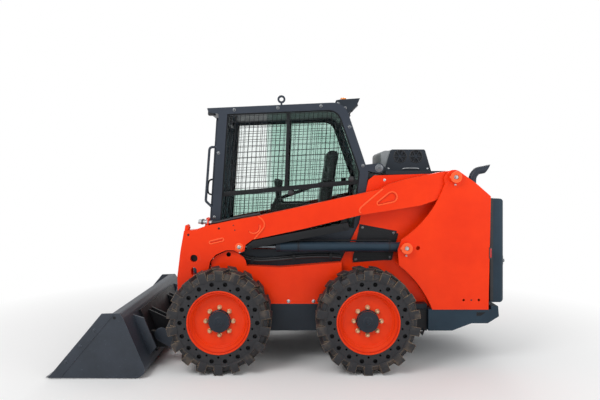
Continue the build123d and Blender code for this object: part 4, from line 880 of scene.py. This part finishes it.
# Front door: two pull handles and a wiper
hoop_bm, wiper_bm = meshes(2)
DOOR_FOOT_X, DOOR_FOOT_Z, DOOR_TOP_X, DOOR_TOP_Z = -672, 1000, -596, 2195
DOOR_LEAN = (DOOR_TOP_X - DOOR_FOOT_X) / (DOOR_TOP_Z - DOOR_FOOT_Z)


def door_x(z, out=29):
    """Front face of the leaning door at a height."""
    return DOOR_FOOT_X + DOOR_LEAN * (z - DOOR_FOOT_Z) - out


for side in (LEFT, RIGHT):
    tube(hoop_bm, side_path((
        (door_x(1430, 20), 1430), (door_x(1436) - 34, 1440), (door_x(1500) - 40, 1500),
        (door_x(1560) - 34, 1560), (door_x(1566, 20), 1570),
    ), DOOR_HANDLE_Y, side), 8, 12, 2)
piece("door_handles", hoop_bm, black, "front_door", 60)
motor = aimed(door_x(2080, 26), 0, 2080, (-1, 0, 0.06))
capped(wiper_bm, motor, ((22, 0), (22, 12), (16, 18), (8, 22)), 24)
tube(wiper_bm, [
    (door_x(z, out), y, z) for y, z, out in ((0, 2080, 39), (110, 1900, 33), (196, 1760, 25))
], 5, 8, 1)
tube(wiper_bm, [(door_x(z, 20), y, z) for y, z in ((226, 1990), (196, 1760), (166, 1530))], 6, 8)
piece("wiper", wiper_bm, black, "front_door", 60)

# Controls: lever boots and grips, and the lap bar
for side_name, side in SIDES:
    boot_bm, grip_bm = meshes(2)
    stick = top_frame(-90, side * 325, 1350)
    boot = [(40, 0), (40, 6)]
    for fold in range(4):
        boot += [(38 - 4 * fold, 10 + 12 * fold), (32 - 4 * fold, 16 + 12 * fold)]
    capped(boot_bm, stick, boot, 28)
    capped(grip_bm, stick, (
        (21, 118), (26, 124), (27, 134), (23, 142), (25, 160), (28, 178), (29, 198), (27, 212), (19, 221),
        (8, 224),
    ), 28)
    for y in (-9, 9):
        capped(grip_bm, shifted(stick, -14, y, 214), ((6, -6), (6, 10), (4, 12)), 16)
    piece(f"lever_boot_{side_name}", boot_bm, hose_rubber, "cab")
    piece(f"lever_grip_{side_name}", grip_bm, plastic, "cab")
lap_bm = bmesh.new()
tube(lap_bm, (
    (430, -262, 1560), (300, -262, 1530), (60, -258, 1440), (-40, -240, 1408), (-60, -150, 1398),
    (-60, 150, 1398), (-40, 240, 1408), (60, 258, 1440), (300, 262, 1530), (430, 262, 1560),
), 14, 14, 2)
piece("lap_bar", lap_bm, black, "cab", 60)


# Seat: both pads inflated by cloth pressure, then sewn channels
def worked(pad):
    """The pad's mesh with its modifiers applied."""
    mesh = bpy.data.meshes.new_from_object(pad.evaluated_get(bpy.context.evaluated_depsgraph_get()))
    pad.modifiers.clear()
    return mesh


def seat_pad(name, bm, room, node):
    """Inflate a closed form as cloth, hold it in its room, and let it stand for its plain solid."""
    mesh = bpy.data.meshes.new(name)
    bm.to_mesh(mesh)
    bm.free()
    pad = added(name, mesh)
    fine = pad.modifiers.new("fine", "REMESH")
    fine.mode = "VOXEL"
    fine.voxel_size = 6 * MM
    pad.data = worked(pad)
    before = [vertex.co.copy() for vertex in pad.data.vertices]
    cloth = pad.modifiers.new("cloth", "CLOTH")
    cloth.settings.use_pressure = True
    cloth.settings.uniform_pressure_force = 4.0
    cloth.settings.effector_weights.gravity = 0.0
    for step in range(1, 21):
        scene.frame_set(step)
    pad.data = worked(pad)
    scene.frame_set(1)
    for vertex, start in zip(pad.data.vertices, before):
        move = vertex.co - start
        if move.length > SWELL * MM:
            move *= SWELL * MM / move.length
        vertex.co = Vector(room((start + move) / MM)) * MM
    for face in pad.data.polygons:
        face.use_smooth = True
    pad.data.materials.clear()
    pad.data.materials.append(vinyl)
    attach(pad, "cab")
    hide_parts(node)


SWELL, SEAT_X, SEAT_HALF, SEAT_LOW, SEAT_TOP = 22, 150, 239, 1191, 1299
BACK_FOOT, BACK_TOP, BACK_LEAN, BACK_FRONT, BACK_REAR = 1302, 1853, 0.16, 281, 389
CHANNELS = (-135, 135)


def held(value, low, high):
    """A value kept between two limits."""
    return min(max(value, low), high)


def groove(across, along, depth, lines, width=9):
    """Depth of the sewn channels at a place across the pad, fading near the pad's ends."""
    return sum(depth * along * math.exp(-(((across - line) / width) ** 2)) for line in lines)


def cushion_room(spot):
    """Keep the seat pad in its solid's box, its foot flat and its top sewn."""
    x, y, z = spot
    fade = max(0.0, 1 - ((x - SEAT_X) / 215) ** 4)
    crown = max(0.0, (z - 1250) / 50)
    z = held(z, SEAT_LOW, SEAT_TOP) - crown * groove(y, fade, 9, CHANNELS)
    return held(x, SEAT_X - SEAT_HALF, SEAT_X + SEAT_HALF), held(y, -SEAT_HALF, SEAT_HALF), z


def back_room(spot):
    """Keep the back pad between its leaning faces, with sewn channels in front."""
    x, y, z = spot
    z = held(z, BACK_FOOT, BACK_TOP)
    lean = BACK_LEAN * (z - 1300)
    fade = max(0.0, 1 - ((z - 1577) / 255) ** 4)
    upright, across = groove(y, fade, 0.9, CHANNELS), groove(z, max(0.0, 1 - (y / 215) ** 4), 0.9, (1700,))
    front = BACK_FRONT + lean + 10 * upright + 10 * across
    return min(max(x, front), BACK_REAR + lean), held(y, -SEAT_HALF, SEAT_HALF), z


cushion_bm, back_bm = meshes(2)
prism(cushion_bm, top_frame(SEAT_X, 0, 0), rounded(448, 448, 70), 1192, 1278, 24)
prism(back_bm, top_frame(335, 0, 0), rounded(76, 444, 30), 1316, 1838, 18)
for vertex in back_bm.verts:
    vertex.co.x += BACK_LEAN * (vertex.co.z - 1.3)
seat_pad("seat_cushion_pad", cushion_bm, cushion_room, "seat_cushion")
seat_pad("seat_back_pad", back_bm, back_room, "seat_backrest")

# Cooler fans and rails, tail lamps, hood seals, rear door seal and grip, and hoses
COOLER_Y, FAN_Z, FANS_X = 300, 1776, (1014.5, 1158.5)
for side_name, side in SIDES:
    grille_bm, rail_bm, bezel_bm, lens_bm = meshes(4)
    for x in FANS_X:
        fan = side_frame(x, COOLER_Y, FAN_Z, side)
        for radius in (22, 34, 46):
            bead(grille_bm, fan, radius, 1.8, -1, 40)
        ring(grille_bm, fan, ((53, -2), (60, -2), (60, 2), (57, 4), (53, 3)), 48)
        for x_off, y_off in circle(0, 0, 64, 4, math.pi / 4):
            dome_bolt(grille_bm, shifted(fan, x_off, y_off, 0), 7)
    tube(rail_bm, [(x, side * y, z) for x, y, z in (
        (1034, 298, 1654), (1038, 316, 1664), (1060, 320, 1668), (1160, 320, 1668), (1182, 316, 1664),
        (1186, 298, 1654),
    )], 5, 10, 2)
    for x in (910, 1262):
        dome_bolt(rail_bm, side_frame(x, COOLER_Y, 1664, side), 14)
    tail = side_frame(1725, 605, 942, side)
    band(bezel_bm, tail, rounded(25, 102, 9), rounded(14, 80, 6), -4, 5)
    prism(lens_bm, tail, rounded(13, 79, 5), -2, 4, 1.5)
    piece(f"fan_grilles_{side_name}", grille_bm, plastic, "chassis", 60)
    piece(f"cooler_rails_{side_name}", rail_bm, silver, "chassis", 60)
    piece(f"tail_bezels_{side_name}", bezel_bm, plastic, "chassis")
    piece(f"tail_lenses_{side_name}", lens_bm, red_lens, "chassis")

hood_seal_bm = bmesh.new()
for y in (-400, 360):
    prism(hood_seal_bm, side_frame(744, y, 1598, RIGHT), rounded(62, 56, 12), 0, 40, 3)
piece("hood_seals", hood_seal_bm, hose_rubber, "chassis")

seal_bm, grip_bm = meshes(2)
REAR_LOW, REAR_TOP, REAR_HALF = 517, 1402, 560
door_mid = aimed(1735, 0, (REAR_LOW + REAR_TOP) / 2, (1, 0, 0))
wide, tall = 2 * REAR_HALF, REAR_TOP - REAR_LOW
band(seal_bm, door_mid, rounded(wide + 6, tall + 6, 22), rounded(wide - 1, tall - 1, 19), 1, 26)
piece("rear_door_seal", seal_bm, hose_rubber, "rear_door")
latch = aimed(1859, -444, 862, (1, 0, 0))
prism(grip_bm, latch, rounded(70, 120, 20), -1, 6, 2)
prism(grip_bm, latch, rounded(26, 96, 11), 14, 27, 4)
piece("rear_door_grip", grip_bm, plastic, "rear_door")

hose_bm = bmesh.new()
tube(hose_bm, (
    (742, -424, 1470), (766, -426, 1530), (826, -424, 1572), (905, -400, 1586), (950, -360, 1584),
), 13, 14, 2)
tube(hose_bm, ((752, -396, 1440), (784, -398, 1510), (850, -396, 1548), (930, -370, 1560)), 10, 12, 2)
piece("pivot_hoses", hose_bm, hose_rubber, "chassis", 60)

# Bucket: a black spot of painted shade for the lifting hole, and bolts of the side cutters
for side_name, side in SIDES:
    hole_shade_bm, bolt_bm = meshes(2)
    painted_hole_shade(hole_shade_bm, side_frame(-1340, BUCKET_Y, 476, side), 11)
    for x, z in ((-1717, 134), (-1606, 257), (-1495, 380)):
        dome_bolt(bolt_bm, side_frame(x, CUTTER_Y, z, side), 22)
    piece(f"bucket_hole_shades_{side_name}", hole_shade_bm, black, "bucket")
    piece(f"bucket_bolts_{side_name}", bolt_bm, bucket_steel, "bucket")

# Stage: pale floor, white surroundings, soft light and the photograph's camera
FLOOR_SIZE = 30.0
floor_bm = bmesh.new()
bmesh.ops.create_grid(floor_bm, x_segments=1, y_segments=1, size=FLOOR_SIZE)
floor_mesh = bpy.data.meshes.new("floor")
floor_bm.to_mesh(floor_mesh)
floor_bm.free()
floor = added("floor", floor_mesh)
floor.location.z = -0.001
floor_paint, tree, bsdf = shader("floor_white")
bsdf.inputs["Base Color"].default_value = (0.9, 0.9, 0.9, 1.0)
bsdf.inputs["Roughness"].default_value = 0.9
bsdf.inputs["Specular IOR Level"].default_value = 0.1
reach = tree.nodes.new("ShaderNodeVectorMath")
reach.operation = "LENGTH"
tree.links.new(own_place(tree), reach.inputs[0])
far_share = spread(tree, reach.outputs["Value"], 1.6, 4.2)
white = add_node(tree, "ShaderNodeEmission", Strength=1.0)
mix = tree.nodes.new("ShaderNodeMixShader")
tree.links.new(far_share, mix.inputs["Fac"])
tree.links.new(bsdf.outputs["BSDF"], mix.inputs[1])
tree.links.new(white.outputs["Emission"], mix.inputs[2])
tree.links.new(mix.outputs["Shader"], tree.nodes["Material Output"].inputs["Surface"])
floor_mesh.materials.append(floor_paint)

world = bpy.data.worlds.new("studio")
scene.world = world
world.use_nodes = True
sky = world.node_tree
backdrop = sky.nodes["Background"]
rays = sky.nodes.new("ShaderNodeLightPath")
seen = rays.outputs["Is Camera Ray"]
for kind in ("Is Glossy Ray", "Is Transmission Ray"):
    either = sky.nodes.new("ShaderNodeMath")
    either.operation = "MAXIMUM"
    sky.links.new(seen, either.inputs[0])
    sky.links.new(rays.outputs[kind], either.inputs[1])
    seen = either.outputs["Value"]
level = sky.nodes.new("ShaderNodeMapRange")
level.inputs["To Min"].default_value = 0.5
level.inputs["To Max"].default_value = 1.0
sky.links.new(seen, level.inputs["Value"])
sky.links.new(level.outputs["Result"], backdrop.inputs["Strength"])
backdrop.inputs["Color"].default_value = (1.0, 1.0, 1.0, 1.0)


def soft_light(name, place, target, size, power):
    """A square area light that looks at a point."""
    data = bpy.data.lights.new(name, "AREA")
    data.shape = "SQUARE"
    data.size = size
    data.energy = power
    light = added(name, data)
    light.location = place
    light.rotation_euler = (Vector(target) - Vector(place)).to_track_quat("-Z", "Y").to_euler()


soft_light("key", (-3.2, -4.6, 5.2), (0.0, 0.0, 0.9), 3.2, 210.0)
soft_light("fill", (4.6, -4.2, 3.0), (0.2, 0.0, 0.9), 3.0, 80.0)
soft_light("rim", (2.0, 5.0, 4.6), (0.0, 0.0, 1.0), 3.0, 110.0)

camera_data = bpy.data.cameras.new("camera")
camera_data.lens = 32.34
camera_data.sensor_width = 36.0
camera_data.shift_y = -0.025
camera = added("camera", camera_data)
camera.location = (0.1135, -5.16, 1.517)
camera.rotation_euler = (math.pi / 2, 0.0, 0.0)
scene.camera = camera
scene.view_settings.view_transform = "Standard"
